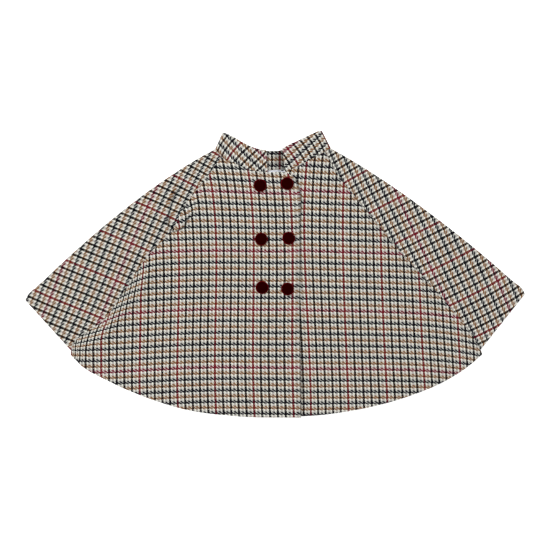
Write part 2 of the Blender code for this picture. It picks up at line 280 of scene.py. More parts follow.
@dataclass(frozen=True)
class GrainMap:
    """How the check lies on a panel, as sums of powers of the plan place.

    Row i of a table holds the factors of the i-th power across, by rising powers up.
    Counts are in checks: whole numbers are dark lines across and navy rows along.
    """

    centre: tuple[float, float]
    scale: float
    across: tuple[tuple[float, ...], ...]
    along: tuple[tuple[float, ...], ...]
    along_sign: float = 1.0

    def _sum(self, table: tuple[tuple[float, ...], ...], spots: Array) -> Array:
        """Sums one table's powers.

        Args:
            table: Factors of the powers.
            spots: Plan places in metres, (..., 2).

        Returns:
            Sums, one a place.
        """
        x = (spots[..., 0] - self.centre[0]) / self.scale
        y = (spots[..., 1] - self.centre[1]) / self.scale
        total = np.zeros(spots.shape[:-1])
        for i, row in enumerate(table):
            for j, factor in enumerate(row):
                total = total + factor * x**i * y**j
        return total

    def at(self, spots: Array) -> Array:
        """Gives the place on the cloth.

        Args:
            spots: Plan places in metres, (..., 2).

        Returns:
            Checks across and along, (..., 2).
        """
        counts = [self._sum(self.across, spots), self._sum(self.along, spots) * self.along_sign]
        return np.stack(counts, axis=-1)

    def beyond(self, edge: Array, outward: Array, travel: Array) -> Array:
        """Follows the cloth past a place, straight on, as where it turns round a fold.

        Args:
            edge: Plan place where the turn starts, (2,).
            outward: Unit way, (2,).
            travel: Lengths of cloth past the place, (n,).

        Returns:
            Checks across and along, (n, 2).
        """
        step = 4.0 * MM
        here = self.at(edge)
        rate = (here - self.at(edge - outward * step)) / step
        return here + rate * np.asarray(travel)[:, None]


@dataclass(frozen=True)
class Cut:
    """The flat cut of a cloth piece, in metres and square metres, and how it lies."""

    width: float
    length: float
    area: float
    held: Held
    rests_on: tuple[str, ...]


@dataclass
class Surface:
    """A cloth's outer side: rows of points, charts of the weave and how deep in shade it lies.

    Each chart holds up to the column that it comes with.
    """

    points: Array
    charts: list[tuple[int, Array]]
    shaded: Optional[Array] = None

    def turned(self) -> "Surface":
        """Gives the same surface with its rows in the other order."""
        shaded = None if self.shaded is None else self.shaded[::-1]
        return Surface(self.points[::-1], [(last, chart[::-1]) for last, chart in self.charts], shaded)


def ease(amount: Array) -> Array:
    """Gives a smooth step from 0 to 1."""
    held = np.clip(amount, 0.0, 1.0)
    return held * held * (3.0 - 2.0 * held)


def smooth_line(stations: Sequence[Station], first: Optional[str] = None, last: Optional[str] = None) -> Line:
    """Lays a smooth line through stations.

    Args:
        stations: The line's stations in order.
        first: Place where the line starts, or None for the first station.
        last: Place where the line ends, or None for the last station.

    Returns:
        A function from fractions of the line to plan places in metres.
    """
    places = [station.place for station in stations]
    knots = np.array([(station.across, station.up) for station in stations]) * MM
    lengths = np.concatenate(([0.0], np.cumsum(np.linalg.norm(np.diff(knots, axis=0), axis=1))))
    slopes = np.gradient(knots, lengths, axis=0)
    start = lengths[places.index(first)] if first else lengths[0]
    end = lengths[places.index(last)] if last else lengths[-1]

    def line(fractions: Array) -> Array:
        """Gives places on the line.

        Args:
            fractions: Fractions of the line.

        Returns:
            Plan places in metres.
        """
        travel = start + (end - start) * np.asarray(fractions, float)
        index = np.clip(np.searchsorted(lengths, travel) - 1, 0, len(lengths) - 2)
        span = (lengths[index + 1] - lengths[index])[..., None]
        t = (travel - lengths[index])[..., None] / span
        return (
            knots[index] * (1.0 + 2.0 * t) * (1.0 - t) ** 2
            + slopes[index] * span * t * (1.0 - t) ** 2
            + knots[index + 1] * t * t * (3.0 - 2.0 * t)
            + slopes[index + 1] * span * t * t * (t - 1.0)
        )

    return line


def moved_off(line: Line, distance: float) -> Line:
    """Moves a line sideways.

    Args:
        line: The line.
        distance: How far, to the left of its own way where positive.

    Returns:
        The moved line.
    """
    step = 0.5 / CURVE_SAMPLES

    def moved(fractions: Array) -> Array:
        """Gives places on the moved line.

        Args:
            fractions: Fractions of the line.

        Returns:
            Plan places in metres.
        """
        here = np.asarray(fractions, float)
        way = line(np.minimum(here + step, 1.0)) - line(np.maximum(here - step, 0.0))
        way = way / np.linalg.norm(way, axis=-1, keepdims=True)
        return line(here) + np.stack((-way[..., 1], way[..., 0]), axis=-1) * distance

    return moved


def strip_line(lower: Line, upper: Line, up: float) -> Line:
    """Gives the line at one height of a strip between its lower and upper lines."""
    return lambda t: lower(t) * (1.0 - up) + upper(t) * up


def samples(line: Line) -> Array:
    """Gives a line as an array of points."""
    return line(np.linspace(0.0, 1.0, CURVE_SAMPLES + 1))


def bulge(line: Line, t: Array) -> Array:
    """Gives how far a line leaves its own chord at fractions t."""
    ends = line(np.array([0.0, 1.0]))
    return line(t) - (ends[0] * (1.0 - t)[..., None] + ends[1] * t[..., None])


def ruled(first: Array, second: Array, t: Array, *ends: tuple[Line, Array]) -> Array:
    """Spans a sheet between two edges and bends it along its curved ends.

    Args:
        first: Places on the first edge, one a row.
        second: Places on the second edge, one a row.
        t: Fractions across.
        ends: Lines of curved ends, each with the share of its bend that each row takes.

    Returns:
        Plan places in metres, (rows, columns, 2).
    """
    spots = first[:, None] * (1.0 - t)[None, :, None] + second[:, None] * t[None, :, None]
    for line, share in ends:
        spots = spots + bulge(line, t)[None] * share[:, None, None]
    return spots


def at_height(spots: Array, height: Array | float) -> Array:
    """Gives points from plan places and their heights."""
    heights = np.broadcast_to(height, spots.shape[:-1])
    return np.concatenate((spots, heights[..., None]), axis=-1)


def rounded(centre: Array, outward: Array, radius: float, steps: int) -> tuple[Array, Array]:
    """Turns cloth round a fold, from its upper layer down to the surface.

    Args:
        centre: Fold centres, one a row.
        outward: Unit ways out, one a row.
        radius: Radius of the cloth's outer side.
        steps: Steps of the half turn.

    Returns:
        Points, (rows, steps + 1, 3), and lengths of cloth from the start of the turn.
    """
    angle = np.linspace(0.0, math.pi, steps + 1)
    reach = centre[:, None] + outward[:, None] * (radius * np.sin(angle))[None, :, None]
    return at_height(reach, radius + radius * np.cos(angle)), radius * angle


def beside(points: Array, spots: Array) -> tuple[Array, Array, Array]:
    """Measures places against a line of points.

    Args:
        points: The line, (n, 2).
        spots: Plan places, (..., 2).

    Returns:
        The least distance, the side (1 on the left of the line's way, or -1) and the fraction along.
    """
    flat = spots.reshape(-1, 2)
    best = np.full(len(flat), np.inf)
    side = np.ones(len(flat))
    along = np.zeros(len(flat))
    ways = np.diff(points, axis=0)
    spans = np.linalg.norm(ways, axis=1)
    starts = np.concatenate(([0.0], np.cumsum(spans)))
    for start, way, span, travelled in zip(points[:-1], ways, spans, starts):
        t = np.clip((flat - start) @ way / span**2, 0.0, 1.0)
        off = flat - start - t[:, None] * way
        distance = np.linalg.norm(off, axis=1)
        nearer = distance < best
        best = np.where(nearer, distance, best)
        turn = np.sign(way[0] * off[:, 1] - way[1] * off[:, 0])
        side = np.where(nearer, turn, side)
        along = np.where(nearer, (travelled + t * span) / starts[-1], along)
    shape = spots.shape[:-1]
    return best.reshape(shape), side.reshape(shape), along.reshape(shape)


def lift(across: Array) -> Array:
    """Gives how far the upper front is raised by the front under it."""
    return OVERLAP_LIFT * ease((across - LIFT_START) / (LIFT_END - LIFT_START))


def softness(spots: Array, seed: float, height: float) -> Array:
    """Gives slight unevenness of lying cloth.

    Args:
        spots: Plan places in metres, (..., 2).
        seed: Tells one panel from another.
        height: Greatest height in metres.

    Returns:
        Heights in metres.
    """
    waves, finer, finer_share = 24.0, 2.3, 0.5
    found = []
    for x, y in spots.reshape(-1, 2) * waves:
        broad = noise.noise(Vector((x, y, seed)))
        fine = noise.noise(Vector((finer * x, finer * y, -seed)))
        found.append(broad + finer_share * fine)
    return np.array(found).reshape(spots.shape[:-1]) * height


# Outlines, as the solids have them
RIGHT_SEAM = (
    Station("collar", -77.6, 169.3),
    Station("chest", -105.0, 132.0),
    Station("upper arm", -131.0, 98.0),
    Station("middle arm", -150.0, 62.0),
    Station("elbow", -182.0, 29.0),
    Station("forearm", -211.0, -14.0),
    Station("wrist", -247.0, -65.0),
    Station("side hem", -296.0, -111.0),
    Station("front corner", -296.5, -117.5),
)
LEFT_SEAM = (
    Station("collar", 73.0, 177.0),
    Station("chest", 90.0, 146.0),
    Station("upper arm", 121.0, 106.0),
    Station("middle arm", 153.0, 67.0),
    Station("elbow", 189.0, 24.0),
    Station("wrist", 241.0, -33.0),
    Station("side hem", 298.0, -110.0),
    Station("front corner", 301.0, -116.5),
)
RIGHT_FOLD = (
    Station("collar", -87.0, 180.8),
    Station("neck point", -103.0, 172.2),
    Station("shoulder", -161.0, 136.0),
    Station("upper arm", -238.0, 78.0),
    Station("elbow", -304.5, 20.0),
    Station("cuff", -345.0, -18.0),
    Station("cuff corner", -357.8, -29.4),
    Station("tip", -362.5, -38.0),
)
LEFT_FOLD = (
    Station("collar", 81.2, 181.8),
    Station("neck point", 98.6, 172.2),
    Station("shoulder", 157.0, 136.0),
    Station("upper arm", 238.0, 78.0),
    Station("elbow", 310.3, 20.0),
    Station("cuff", 347.0, -12.0),
    Station("cuff corner", 358.6, -21.4),
    Station("tip", 362.5, -29.0),
)
RIGHT_NECKLINE = (
    Station("collar fold", -87.0, 180.8),
    Station("seam", -77.6, 169.3),
    Station("side neck", -57.0, 159.3),
    Station("front neck", -39.0, 151.0),
    Station("collar end", -10.9, 147.1),
    Station("overlap", 15.0, 146.8),
    Station("front corner", 28.5, 139.5),
)
LEFT_NECKLINE = (
    Station("collar fold", 81.2, 181.8),
    Station("seam", 73.0, 177.0),
    Station("side neck", 55.0, 167.5),
    Station("front neck", 33.6, 156.2),
    Station("collar end", 14.8, 147.8),
    Station("overlap", -12.0, 144.2),
    Station("front corner", -32.0, 136.0),
)
BACK_NECKLINE = (
    Station("right collar fold", -87.0, 180.8),
    Station("right seam", -77.6, 169.3),
    Station("right neck", -55.0, 158.0),
    Station("centre", 0.0, 150.4),
    Station("left neck", 50.0, 163.0),
    Station("left seam", 73.0, 177.0),
    Station("left collar fold", 81.2, 181.8),
)
RIGHT_FRONT_EDGE = (
    Station("corner", 28.5, 139.5),
    Station("bust", 33.8, 127.0),
    Station("chest", 36.0, 64.0),
    Station("waist", 35.5, -42.0),
    Station("hip", 37.0, -134.0),
    Station("hem", 37.5, -208.5),
)
LEFT_FRONT_EDGE = (
    Station("corner", -32.0, 136.0),
    Station("bust", -35.0, 118.0),
    Station("chest", -36.0, 70.0),
    Station("hem", -36.0, -203.0),
)
RIGHT_HEM = (
    Station("corner", -296.5, -117.5),
    Station("side", -282.0, -132.5),
    Station("quarter", -243.5, -154.8),
    Station("third", -196.0, -176.0),
    Station("knee", -125.0, -198.0),
    Station("inner", -60.0, -206.2),
    Station("front edge", 37.5, -208.5),
)
LEFT_HEM = (
    Station("corner", 301.0, -116.5),
    Station("side", 282.0, -133.0),
    Station("quarter", 247.0, -155.5),
    Station("third", 196.0, -177.0),
    Station("knee", 115.0, -198.0),
    Station("inner", 40.0, -206.6),
    Station("front edge", -36.0, -203.0),
)
RIGHT_COLLAR_TOP = (
    Station("outer corner", -75.8, 205.8),
    Station("shoulder", -62.6, 199.7),
    Station("side", -47.9, 191.0),
    Station("front", -30.5, 182.8),
    Station("end", -12.5, 178.5),
)
LEFT_COLLAR_TOP = (
    Station("outer corner", 67.4, 208.5),
    Station("shoulder", 56.3, 204.1),
    Station("side", 36.3, 194.4),
    Station("front", 20.0, 187.0),
    Station("end", 10.2, 181.6),
)
BACK_COLLAR_TOP = (
    Station("right corner", -75.8, 205.8),
    Station("right side", -47.0, 189.8),
    Station("right dip", -20.0, 180.0),
    Station("left dip", 10.0, 179.6),
    Station("left side", 35.5, 193.0),
    Station("left corner", 67.4, 208.5),
)

# How the seams lie, the soft folds that the solids have too, and the creases
RIGHT_LIE = SeamLie(4.6 * MM, 4.6 * MM, 10.0 * MM, 6.0 * MM)
LEFT_LIE = SeamLie(4.7 * MM, 6.0 * MM, 7.0 * MM, 3.0 * MM)

FRONT_RIGHT_FOLDS = (
    Fold("roll beside the lower seam", (-158.0, 34.0), (-264.0, -104.0), 13.0, 4.4),
    Fold("tuck across the seam", (-124.0, 97.0), (-143.0, 62.0), 7.0, 2.6),
    Fold("swell below the chest", (-92.0, 96.0), (-150.0, -60.0), 30.0, 1.2),
    Fold("swell above the hem", (-205.0, -140.0), (-95.0, -172.0), 22.0, 0.9),
)
FRONT_LEFT_FOLDS = (
    Fold("swell beside the seam", (122.0, 82.0), (226.0, -52.0), 20.0, 1.8),
    Fold("swell below the chest", (92.0, 60.0), (110.0, -120.0), 32.0, 1.0),
    Fold("swell above the hem", (150.0, -156.0), (262.0, -122.0), 20.0, 1.1),
)
SIDE_RIGHT_FOLDS = (Fold("crown of the arm", (-150.0, 124.0), (-300.0, -30.0), 20.0, 1.1),)
SIDE_LEFT_FOLDS = (Fold("crown of the arm", (150.0, 124.0), (304.0, -24.0), 20.0, 1.2),)
TUCK_CREASE = Crease(
    "crease below the tuck",
    (
        (-149.6, 60.2), (-146.8, 61.0), (-140.8, 62.6), (-135.3, 65.3), (-130.6, 68.6), (-129.0, 71.6),
        (-128.6, 75.0), (-127.6, 78.4), (-124.6, 81.0), (-122.1, 83.4), (-118.9, 85.9),
    ),
    trough=3.6,
    trough_width=1.3,
    rise=1.4,
    rise_width=8.0,
    slip=6.0,
    shade=1.0,
    droop=Droop(top=128.7, foot=67.8, depth=10.2, near=6.0, far=18.0),
)
ARM_CREASE = Crease(
    "soft crease beside the tuck",
    (
        (-137.8, 126.5), (-145.0, 115.6), (-150.1, 101.1), (-153.0, 89.5), (-154.4, 79.4), (-153.7, 67.8),
        (-151.5, 60.0),
    ),
    trough=1.5,
    trough_width=2.6,
    gather=4.0,
    gather_width=3.2,
    shade=1.2,
    shade_width=2.1,
)

# How the check lies on each piece
FRONT_RIGHT_GRAIN = GrainMap(
    centre=(-0.1, -0.03),
    scale=0.15,
    across=(
        (-6.356, -0.2805, 0.2669, 0.4894, 0.0504),
        (13.94, 0.0644, -0.4763, -0.2423),
        (-0.0194, 0.4602, 0.2897),
        (-0.4974, -0.3123),
        (0.0034,),
    ),
    along=(
        (-1.269, -8.836, 0.114, 0.0075, -0.0001),
        (0.1479, -0.0925, -0.1233, -0.1015),
        (-0.4631, -0.0655, -0.0557),
        (0.1421, 0.1636),
        (0.2375,),
    ),
)
FRONT_LEFT_GRAIN = GrainMap(
    centre=(0.16, -0.03),
    scale=0.15,
    across=(
        (10.41, 0.5126, -0.1667, -0.0146, 0.0192),
        (13.66, 0.3649, 0.3204, 0.3441),
        (0.4536, 0.4473, 0.2957),
        (0.3213, -0.4109),
        (-0.2882,),
    ),
    along=(
        (-1.482, -8.871, 0.0963, -0.0352, 0.045),
        (-0.2886, -0.1244, 0.0908, -0.0326),
        (-0.2488, 0.0182, 0.0641),
        (-0.3991, -0.1025),
        (-0.2482,),
    ),
)
SIDE_RIGHT_GRAIN = GrainMap(
    centre=(-0.2, 0.02),
    scale=0.15,
    across=((11.61, -11.77, -0.3547, 0.2659), (-5.249, 0.9416, -1.173), (-1.157, 1.44), (-0.9862,)),
    along=((1.054, -3.842, 0.2377, -0.1597), (9.11, -1.278, -0.1961), (1.149, -0.8783), (0.9078,)),
    along_sign=-1.0,
)
SIDE_LEFT_GRAIN = GrainMap(
    centre=(0.2, 0.02),
    scale=0.15,
    across=((7.829, -11.78, 0.3398, -0.3118), (5.63, 0.5837, -0.3811), (-0.1086, 0.0116), (0.6438,)),
    along=((-1.182, 4.137, -0.3934, -0.0973), (8.698, -0.9314, -0.105), (-0.5881, 0.0283), (0.3011,)),
    along_sign=-1.0,
)
COLLAR_RIGHT_GRAIN = GrainMap(
    centre=(-0.04, 0.175),
    scale=0.05,
    across=((1.4501, -3.194, -0.2242, -0.2083), (2.915, -0.4147, 0.4915), (-0.2426, 0.6763), (0.9336,)),
    along=((0.7881, -2.2059, -0.0237), (-2.153, -0.1919), (0.0544,)),
)
COLLAR_LEFT_GRAIN = GrainMap(
    centre=(0.04, 0.18),
    scale=0.05,
    across=((1.5157, 2.4605, 0.6938, 0.1533), (3.7349, -1.163, -0.2666), (0.2965, 0.5518), (0.6335,)),
    along=((0.8984, -2.2949, -0.2362), (2.0549, -0.0008), (0.2937,)),
)
COLLAR_BACK_GRAIN = GrainMap(
    centre=(0.0068, 0.175),
    scale=0.05,
    across=((0.0, 0.0), (4.5,)),
    along=((1.0, -2.803), (0.0,)),
)
BACK_GRAIN = GrainMap(
    centre=(0.0, 0.0),
    scale=0.1,
    across=((0.0, 0.0), (0.1 / LINE_PITCH,)),
    along=((0.0, -0.1 / ROW_PITCH), (0.0,)),
)


class Graph:
    """A material's node tree, with short ways to add nodes."""

    def __init__(self, name: str) -> None:
        """Starts an empty tree with a principled shader on its output.

        Args:
            name: The material's name.
        """
        self.material = bpy.data.materials.new(name)
        self.material.use_nodes = True
        self.tree = self.material.node_tree
        self.shader = self.tree.nodes["Principled BSDF"]

    def node(self, kind: str, **settings: object) -> bpy.types.Node:
        """Adds a node.

        Args:
            kind: The node's type name.
            settings: Attributes to set on it.

        Returns:
            The node.
        """
        made = self.tree.nodes.new(kind)
        for key, value in settings.items():
            setattr(made, key, value)
        return made

    def feed(self, socket: Socket, value: object) -> None:
        """Links a socket to an input, or sets the input's own value.

        Args:
            socket: The input.
            value: A socket, or the value to set.
        """
        if isinstance(value, bpy.types.NodeSocket):
            self.tree.links.new(value, socket)
        else:
            socket.default_value = value

    def fill(self, node: bpy.types.Node, **values: object) -> None:
        """Feeds a node's inputs by name.

        Args:
            node: The node.
            values: Input names, with _ for spaces, and their sockets or values; three numbers are a colour.
        """
        for key, value in values.items():
            held = (*value, 1.0) if isinstance(value, tuple) and len(value) == 3 else value
            self.feed(node.inputs[key.replace("_", " ")], held)

    def math(self, operation: str, *values: object) -> Socket:
        """Adds a math node.

        Args:
            operation: Its operation.
            values: Sockets or numbers for its inputs.

        Returns:
            Its output.
        """
        made = self.node("ShaderNodeMath", operation=operation)
        for socket, value in zip(made.inputs, values):
            self.feed(socket, value)
        return made.outputs[0]

    def mix(self, factor: object, first: object, second: object, blend: str = "MIX") -> Socket:
        """Mixes two colours.

        Args:
            factor: Share of the second.
            first: Socket or colour.
            second: Socket or colour.
            blend: The way they blend.

        Returns:
            The mixed colour.
        """
        made = self.node("ShaderNodeMix", data_type="RGBA", blend_type=blend)
        for index, value in ((0, factor), (6, first), (7, second)):
            held = (*value, 1.0) if isinstance(value, tuple) else value
            self.feed(made.inputs[index], held)
        return made.outputs[2]

    def stripes(self, position: Socket, bands: Sequence[tuple[float, Colour]]) -> Socket:
        """Colours a repeat in sharp bands.

        Args:
            position: Place in the repeat, 0 to 1.
            bands: Start and colour of each band.

        Returns:
            The colour.
        """
        made = self.node("ShaderNodeValToRGB")
        ramp = made.color_ramp
        ramp.interpolation = "CONSTANT"
        while len(ramp.elements) < len(bands):
            ramp.elements.new(1.0)
        for element, (start, colour) in zip(ramp.elements, bands):
            element.position = start
            element.color = (*colour, 1.0)
        self.feed(made.inputs[0], position)
        return made.outputs[0]

    def bump(self, height: Socket, strength: float, distance: float) -> Socket:
        """Adds a bump.

        Args:
            height: The relief.
            strength: Its strength, 0 to 1.
            distance: Its depth in metres.

        Returns:
            The normal.
        """
        made = self.node("ShaderNodeBump")
        self.fill(made, Strength=strength, Distance=distance, Height=height)
        return made.outputs[0]

    def grain(self, vector: Socket, scale: float, detail: float = 2.0, roughness: float = 0.5) -> Socket:
        """Adds a noise.

        Args:
            vector: Where it is read.
            scale: Waves to a unit.
            detail: Finer layers.
            roughness: Strength of the finer layers.

        Returns:
            The noise, about 0 to 1.
        """
        made = self.node("ShaderNodeTexNoise")
        self.fill(made, Vector=vector, Scale=scale, Detail=detail, Roughness=roughness)
        return made.outputs["Fac"]

    def swing(self, value: Socket, middle: float, reach: float) -> Socket:
        """Turns a noise of 0 to 1 into a number that swings about a middle."""
        return self.math("MULTIPLY_ADD", value, 2.0 * reach, middle - reach)

    def finish(self, **values: object) -> bpy.types.Material:
        """Feeds the shader's inputs.

        Args:
            values: Input names, with _ for spaces, and their sockets or values.

        Returns:
            The material.
        """
        self.fill(self.shader, **values)
        return self.material


@dataclass(frozen=True)
class WoolFinish:
    """Woollen two-and-two twill in a gun club check: dark, cream, second colour and cream, both ways.

    Ends run up the cloth and picks across it. Waves are counted to a check.
    """

    name: str = "checked_wool"
    yarns: int = 16
    stripe: int = 5
    overcheck: int = 5
    twill_repeat: int = 4
    steepness: float = 0.5
    dark_end: Colour = (0.004, 0.0035, 0.005)
    cream_end: Colour = (0.86, 0.88, 0.785)
    taupe_end: Colour = (0.29, 0.28, 0.265)
    red_end: Colour = (0.100, 0.008, 0.012)
    navy_pick: Colour = (0.004, 0.0035, 0.0075)
    cream_pick: Colour = (0.45, 0.43, 0.385)
    tan_pick: Colour = (0.150, 0.073, 0.030)
    pink_pick: Colour = (0.112, 0.009, 0.019)
    dark_cover: float = 0.113
    weft_cover: float = 0.082
    fuzz: float = 0.40
    yarn_shade: float = 0.2
    wander: float = 0.55
    wander_waves: tuple[float, float] = (3.7, 3.1)
    warp_half: float = 0.25
    slack: float = 0.16
    slack_waves: float = 4.6
    heather: float = 0.16
    heather_waves: float = 42.0
    mottle: float = 0.04
    mottle_waves: float = 0.45
    relief: float = 0.25 * MM
    relief_strength: float = 0.5
    float_rise: float = 0.25
    roughness: float = 0.88
    roughness_swing: float = 0.08
    roughness_waves: float = 9.0
    gloss: float = 0.04
    sheen: Colour = (1.0, 0.98, 0.94)
    sheen_weight: float = 0.02
    sheen_roughness: float = 0.6
    shade_depth: float = 0.55

    @property
    def share(self) -> float:
        """Share of the half repeat that a coloured stripe takes."""
        return 2.0 * self.stripe / self.yarns

    def material(self) -> bpy.types.Material:
        """Makes the material from the weave map, which counts checks across and along.

        Returns:
            The material.
        """
        graph = Graph(self.name)
        cloth = graph.node("ShaderNodeUVMap", uv_map=WEAVE_MAP).outputs[0]
        split = graph.node("ShaderNodeSeparateXYZ")
        graph.feed(split.inputs[0], cloth)
        counts = []
        for checks, waves in zip(split.outputs, self.wander_waves):
            stray = graph.swing(graph.grain(cloth, waves, detail=1.0), self.stripe / 2.0, self.wander)
            counts.append(graph.math("MULTIPLY_ADD", checks, float(self.yarns), stray))
        ends, picks = counts
        end_number = graph.math("FLOOR", ends)
        end_colours = (self.dark_end, self.cream_end, self.taupe_end)
        pick_colours = (self.navy_pick, self.cream_pick, self.tan_pick)
        warp, place = self._yarns(graph, ends, end_colours, self.red_end)
        is_dark = graph.math("LESS_THAN", place, self.stripe / self.yarns)
        weft, place = self._yarns(graph, picks, pick_colours, self.pink_pick)
        half_place = graph.math("FRACT", graph.math("MULTIPLY", place, 2.0))
        is_row = graph.math("LESS_THAN", half_place, self.share)
        slack = graph.swing(graph.grain(cloth, self.slack_waves, detail=1.0), self.warp_half, self.slack)
        diagonal = graph.math("SUBTRACT", graph.math("MULTIPLY", end_number, self.steepness), picks)
        on_top = self._twill(graph, diagonal, slack, is_dark, is_row)
        upper = graph.mix(on_top, weft, warp)
        lower = graph.mix(on_top, warp, weft)
        mixed = graph.mix(self.fuzz, upper, lower, "DARKEN")
        across = self._across(graph, ends, picks, on_top)
        # Painted shade: each yarn darker towards its edges, where it dips between its neighbours.
        shade = graph.math("MULTIPLY_ADD", across, -self.yarn_shade, 1.0)
        fluff = graph.grain(cloth, self.heather_waves, detail=3.0, roughness=0.6)
        fibres = graph.swing(fluff, 1.0, self.heather)
        broad = graph.swing(graph.grain(cloth, self.mottle_waves), 1.0, self.mottle)
        tone = graph.math("MULTIPLY", graph.math("MULTIPLY", shade, fibres), broad)
        # Painted shade: the colour darkens by the piece's shaded attribute, along creases, at the free edge
        # and inside the back collar.
        shaded = graph.node("ShaderNodeAttribute", attribute_name=SHADED).outputs["Fac"]
        lit = graph.math("MULTIPLY_ADD", shaded, -self.shade_depth, 1.0)
        tone = graph.math("MULTIPLY", tone, lit)
        value = graph.node("ShaderNodeCombineColor")
        for socket in value.inputs:
            graph.feed(socket, tone)
        colour = graph.mix(1.0, mixed, value.outputs[0], "MULTIPLY")
        yarn_height = graph.math("SUBTRACT", fibres, across)
        raised = graph.math("MULTIPLY_ADD", on_top, self.float_rise, yarn_height)
        uneven = graph.grain(cloth, self.roughness_waves)
        return graph.finish(
            Base_Color=colour,
            Roughness=graph.swing(uneven, self.roughness, self.roughness_swing),
            Normal=graph.bump(raised, self.relief_strength, self.relief),
            Specular_IOR_Level=self.gloss,
            Sheen_Weight=self.sheen_weight,
            Sheen_Roughness=self.sheen_roughness,
            Sheen_Tint=self.sheen,
        )

    def _yarns(
        self, graph: Graph, count: Socket, colours: tuple[Colour, Colour, Colour], over: Colour
    ) -> tuple[Socket, Socket]:
        """Colours the yarns of one direction.

        Args:
            graph: The material's tree.
            count: Yarns counted from the start of a dark stripe.
            colours: Dark, cream and second stripe.
            over: The overcheck, in place of every fifth dark stripe.

        Returns:
            The yarn's colour, and its place in the repeat from 0 to 1.
        """
        place = graph.math("FRACT", graph.math("DIVIDE", count, float(self.yarns)))
        dark, cream, second = colours
        half = self.share / 2.0
        plain = graph.stripes(place, ((0.0, dark), (half, cream), (0.5, second), (0.5 + half, cream)))
        long_place = graph.math("FRACT", graph.math("DIVIDE", count, float(self.yarns * self.overcheck)))
        is_over = graph.math("LESS_THAN", long_place, self.stripe / (self.yarns * self.overcheck))
        return graph.mix(is_over, plain, over), place

    def _twill(
        self, graph: Graph, diagonal: Socket, slack: Socket, is_dark: Socket, is_row: Socket
    ) -> Socket:
        """Gives 1 where the warp is on top.

        Args:
            graph: The material's tree.
            diagonal: Number of the end less the picks along it.
            slack: Half the share of the warp, uneven as the yarns are.
            is_dark: 1 on dark ends, which cover a little more.
            is_row: 1 on coloured picks, which cover a little more of pale ends.

        Returns:
            The mask.
        """
        turn = graph.math("FRACT", graph.math("DIVIDE", diagonal, float(self.twill_repeat)))
        wave = graph.math("ABSOLUTE", graph.math("SUBTRACT", turn, 0.5))
        pale = graph.math("SUBTRACT", 1.0, is_dark)
        weft_share = graph.math("MULTIPLY", graph.math("MULTIPLY", is_row, pale), -self.weft_cover)
        share = graph.math("MULTIPLY_ADD", is_dark, self.dark_cover, weft_share)
        return graph.math("LESS_THAN", wave, graph.math("ADD", share, slack))

    def _across(self, graph: Graph, ends: Socket, picks: Socket, on_top: Socket) -> Socket:
        """Measures from the middle of the yarn on top.

        Args:
            graph: The material's tree.
            ends: Ends counted across.
            picks: Picks counted along.
            on_top: 1 where the warp is on top.

        Returns:
            The distance squared, 0 to 1.
        """
        parts = []
        for count in (ends, picks):
            middle = graph.math("MULTIPLY_ADD", graph.math("FRACT", count), 2.0, -1.0)
            parts.append(graph.math("MULTIPLY", middle, middle))
        warp_part = graph.math("MULTIPLY", parts[0], on_top)
        weft_part = graph.math("MULTIPLY", parts[1], graph.math("SUBTRACT", 1.0, on_top))
        return graph.math("ADD", warp_part, weft_part)


@dataclass(frozen=True)
class VelvetFinish:
    """Short-pile velvet, very dark burgundy, with a painted sheen: a lighter rim where the pile is seen from
    the side.
    """

    name: str = "burgundy_velvet"
    deep: Colour = (0.0065, 0.0001, 0.0001)
    light: Colour = (0.0160, 0.0002, 0.0003)
    # Painted sheen: the lighter colour at the button's rim, where the pile is seen from the side.
    rim: Colour = (0.090, 0.0015, 0.0030)
    sheen: Colour = (0.45, 0.004, 0.012)
    sheen_weight: float = 0.9
    sheen_roughness: float = 0.22
    pile: float = 2600.0
    pile_share: float = 0.6
    nap: float = 260.0
    relief: float = 0.25 * MM
    relief_strength: float = 0.6
    roughness: float = 0.9
    roughness_swing: float = 0.08

    def material(self) -> bpy.types.Material:
        """Makes the material from object places.

        Returns:
            The material.
        """
        graph = Graph(self.name)
        place = graph.node("ShaderNodeTexCoord").outputs["Object"]
        pile = graph.grain(place, self.pile, roughness=0.6)
        nap = graph.grain(place, self.nap, detail=1.0)
        nap_part = graph.math("MULTIPLY", nap, 1.0 - self.pile_share)
        tone = graph.math("MULTIPLY_ADD", pile, self.pile_share, nap_part)
        # Painted sheen at the rim, read from the button's attribute.
        rim = graph.node("ShaderNodeAttribute", attribute_name=PAINTED_SHEEN_RIM).outputs["Fac"]
        return graph.finish(
            Base_Color=graph.mix(rim, graph.mix(tone, self.deep, self.light), self.rim),
            Roughness=graph.swing(nap, self.roughness, self.roughness_swing),
            Normal=graph.bump(pile, self.relief_strength, self.relief),
            Specular_IOR_Level=0.0,
            Sheen_Weight=self.sheen_weight,
            Sheen_Roughness=self.sheen_roughness,
            Sheen_Tint=self.sheen,
        )


@dataclass(frozen=True)
class SatinFinish:
    """Pale bluish satin with a soft gloss across its floats."""

    name: str = "pale_satin"
    pale: Colour = (0.56, 0.57, 0.62)
    shade: Colour = (0.44, 0.45, 0.50)
    threads: float = 2400.0
    thread_wander: float = 1.5
    slub: float = 180.0
    relief: float = 0.05 * MM
    relief_strength: float = 0.2
    roughness: float = 0.38
    roughness_swing: float = 0.06
    gloss: float = 0.5
    sheen_weight: float = 0.1
    sheen_roughness: float = 0.4

    def material(self) -> bpy.types.Material:
        """Makes the material from object places.

        Returns:
            The material.
        """
        graph = Graph(self.name)
        place = graph.node("ShaderNodeTexCoord").outputs["Object"]
        wave = graph.node("ShaderNodeTexWave", wave_type="BANDS", bands_direction="X")
        graph.fill(wave, Vector=place, Scale=self.threads, Distortion=self.thread_wander)
        slub = graph.grain(place, self.slub)
        return graph.finish(
            Base_Color=graph.mix(slub, self.shade, self.pale),
            Roughness=graph.swing(slub, self.roughness, self.roughness_swing),
            Normal=graph.bump(wave.outputs["Fac"], self.relief_strength, self.relief),
            Specular_IOR_Level=self.gloss,
            Sheen_Weight=self.sheen_weight,
            Sheen_Roughness=self.sheen_roughness,
        )


